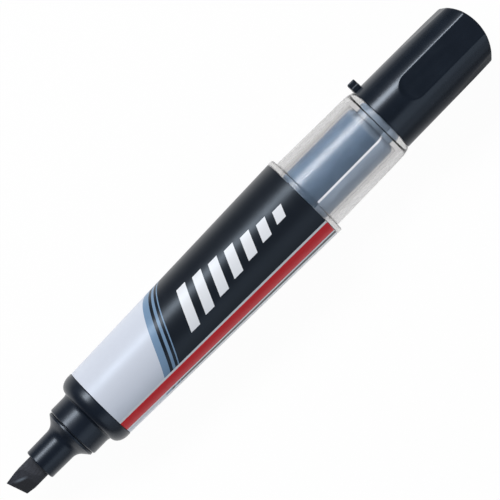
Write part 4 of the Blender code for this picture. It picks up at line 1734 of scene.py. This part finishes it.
@dataclass
class Studio:
    """Pale floor, soft lamps and the camera that looks almost straight down on the marker."""

    floor_size: float = 16.0
    floor_white: float = 0.97
    # Glow seen through clear plastic, dimmed to a painted shadow under the marker.
    floor_shaded_through: float = 0.69
    floor_reach: Point = (30.0 * MM, 62.0 * MM)
    floor_length: float = 40.0 * MM
    # Painted shade in reflections: the glow fades and the floor's colour darkens away from the marker and
    # towards +X and -Y.
    floor_fade: Point = (30.0 * MM, 75.0 * MM)
    floor_reflected_shade: float = 0.1
    floor_near: Colour = (0.86, 0.86, 0.86)
    floor_far_shade: Colour = (0.28, 0.28, 0.28)
    floor_tilt: float = -0.0248
    floor_contact: float = 7.5 * MM
    floor_drop: float = 0.03 * MM
    floor_gloss: float = 0.9
    key_angle: float = math.radians(39.6)
    key_distance: float = 0.7
    key_size: Point = (0.55, 0.2)
    key_radiance: float = 13.8
    panel_distance: float = 0.9
    panel_angles: Point = (math.radians(-46.9), math.radians(-77.4))
    panel_widths: Point = (0.5, 0.46)
    panel_length: float = 1.6
    panel_radiances: Point = (0.85, 0.45)
    panel_colour: Colour = (0.84, 0.92, 1.0)
    sky: float = 0.13
    lens: float = 316.0
    sensor: float = 36.0
    clip: Point = (0.01, 50.0)
    camera_distance: float = 0.9
    camera_turn: float = math.radians(-45.32)
    camera_lean: Point = (math.radians(2.4), math.radians(-0.35))
    camera_aim: Point = (1.855 * MM, 0.34 * MM)

    def add_floor(self) -> None:
        """White floor on which the flange and the collar rest.

        The camera sees it white. Through clear plastic it shows a dimmer glow, a painted shadow under the
        marker. Glossy pieces mirror a glow that fades away from the marker, and beyond it they see the
        floor's colour darkened, painted shade that also deepens towards +X and -Y.
        """
        deselect()
        bpy.ops.mesh.primitive_plane_add(size=self.floor_size)
        floor = bpy.context.active_object
        floor.name = "floor"
        contact = front_of("tail_barrel") + self.floor_contact
        for vertex in floor.data.vertices:
            vertex.co.z = self.floor_tilt * (vertex.co.x - contact) - self.floor_drop
        nodes = Nodes("floor")
        path = nodes.add("ShaderNodeLightPath").outputs
        x, y, _ = nodes.parts()
        beyond = nodes.math("SUBTRACT", nodes.math("ABSOLUTE", x), self.floor_length)
        off = nodes.math("MAXIMUM", nodes.math("ABSOLUTE", y), beyond)
        # Painted shade in reflections, deepening towards +X and -Y.
        reflected_shade = nodes.ranged(nodes.math("SUBTRACT", x, y), self.floor_fade, (1.0, self.floor_reflected_shade))
        near = nodes.math("MULTIPLY", nodes.ranged(off, self.floor_reach, (1.0, 0.0)), reflected_shade)
        far = nodes.math("MULTIPLY", path["Is Glossy Ray"], nodes.math("SUBTRACT", 1.0, near))
        shade = nodes.blend(far, self.floor_near, self.floor_far_shade)
        nodes.set(Base_Color=shade, Roughness=self.floor_gloss, Specular_IOR_Level=0.0)
        glow = nodes.add("ShaderNodeEmission")
        # Through clear plastic the glow is dimmed, a painted shadow under the marker.
        through = nodes.ranged(path["Is Transmission Ray"], (0.0, 1.0), (1.0, self.floor_shaded_through))
        nodes.feed(glow.inputs["Strength"], through)
        seen = nodes.math("MAXIMUM", path["Is Camera Ray"], path["Is Transmission Ray"])
        seen = nodes.math("MULTIPLY", seen, self.floor_white)
        mirrored = nodes.math("MULTIPLY", path["Is Glossy Ray"], near)
        nodes.cover(nodes.math("MAXIMUM", seen, mirrored), glow)
        floor.data.materials.append(nodes.material)

    def add_lamp(
        self,
        name: str,
        angle: float,
        distance: float,
        size: Point,
        radiance: float,
        colour: Colour = WHITE,
    ) -> None:
        """Add a soft rectangular lamp that faces the marker.

        Args:
            name: name of the lamp.
            angle: its angle from straight up, positive towards +Y.
            distance: how far it is from the axis.
            size: its length along X and its width.
            radiance: how bright its face is, where 1 is white.
            colour: colour of its light.
        """
        lamp = bpy.data.lights.new(name, "AREA")
        lamp.shape = "RECTANGLE"
        lamp.size, lamp.size_y = size
        lamp.energy = radiance * math.pi * size[0] * size[1]
        lamp.color = colour
        holder = bpy.data.objects.new(name, lamp)
        bpy.context.scene.collection.objects.link(holder)
        holder.location = (0, distance * math.sin(angle), AXIS + distance * math.cos(angle))
        holder.rotation_euler = (-angle, 0, 0)
        holder.visible_camera = False

    def add_world(self) -> None:
        """Dim grey surround."""
        world = bpy.data.worlds.new("surround")
        bpy.context.scene.world = world
        world.use_nodes = True
        background = world.node_tree.nodes["Background"]
        background.inputs["Color"].default_value = (*WHITE, 1.0)
        background.inputs["Strength"].default_value = self.sky

    def add_camera(self) -> None:
        """Camera at the photograph's view, almost straight above the marker."""
        camera = bpy.data.cameras.new("camera")
        camera.lens = self.lens
        camera.sensor_width = self.sensor
        camera.clip_start, camera.clip_end = self.clip
        holder = bpy.data.objects.new("camera", camera)
        bpy.context.scene.collection.objects.link(holder)
        lean = Matrix.Rotation(self.camera_lean[0], 3, "X") @ Matrix.Rotation(self.camera_lean[1], 3, "Y")
        holder.rotation_euler = (lean @ Matrix.Rotation(self.camera_turn, 3, "Z")).to_euler()
        holder.location = Vector((*self.camera_aim, AXIS)) + lean @ Vector((0, 0, self.camera_distance))
        bpy.context.scene.camera = holder

    def build(self) -> None:
        """Set up the floor, the lamps, the surround and the camera."""
        bpy.context.scene.view_settings.view_transform = "Standard"
        self.add_floor()
        self.add_lamp("key", self.key_angle, self.key_distance, self.key_size, self.key_radiance)
        for angle, width, radiance in zip(self.panel_angles, self.panel_widths, self.panel_radiances):
            size = (self.panel_length, width)
            self.add_lamp("panel", angle, self.panel_distance, size, radiance, self.panel_colour)
        self.add_world()
        self.add_camera()


def main() -> None:
    """Build the marker's sub-assemblies and the studio in order."""
    logging.basicConfig(level=logging.INFO, format="%(asctime)s %(name)s %(message)s")
    thread = Thread()
    for assembly in (Front(), Barrel(thread), Feed(), Cartridge(), Tail(thread), Cap(), Studio()):
        assembly.build()
        LOG.info("%s built", type(assembly).__name__)
    deselect()


if __name__ == "__main__":
    main()
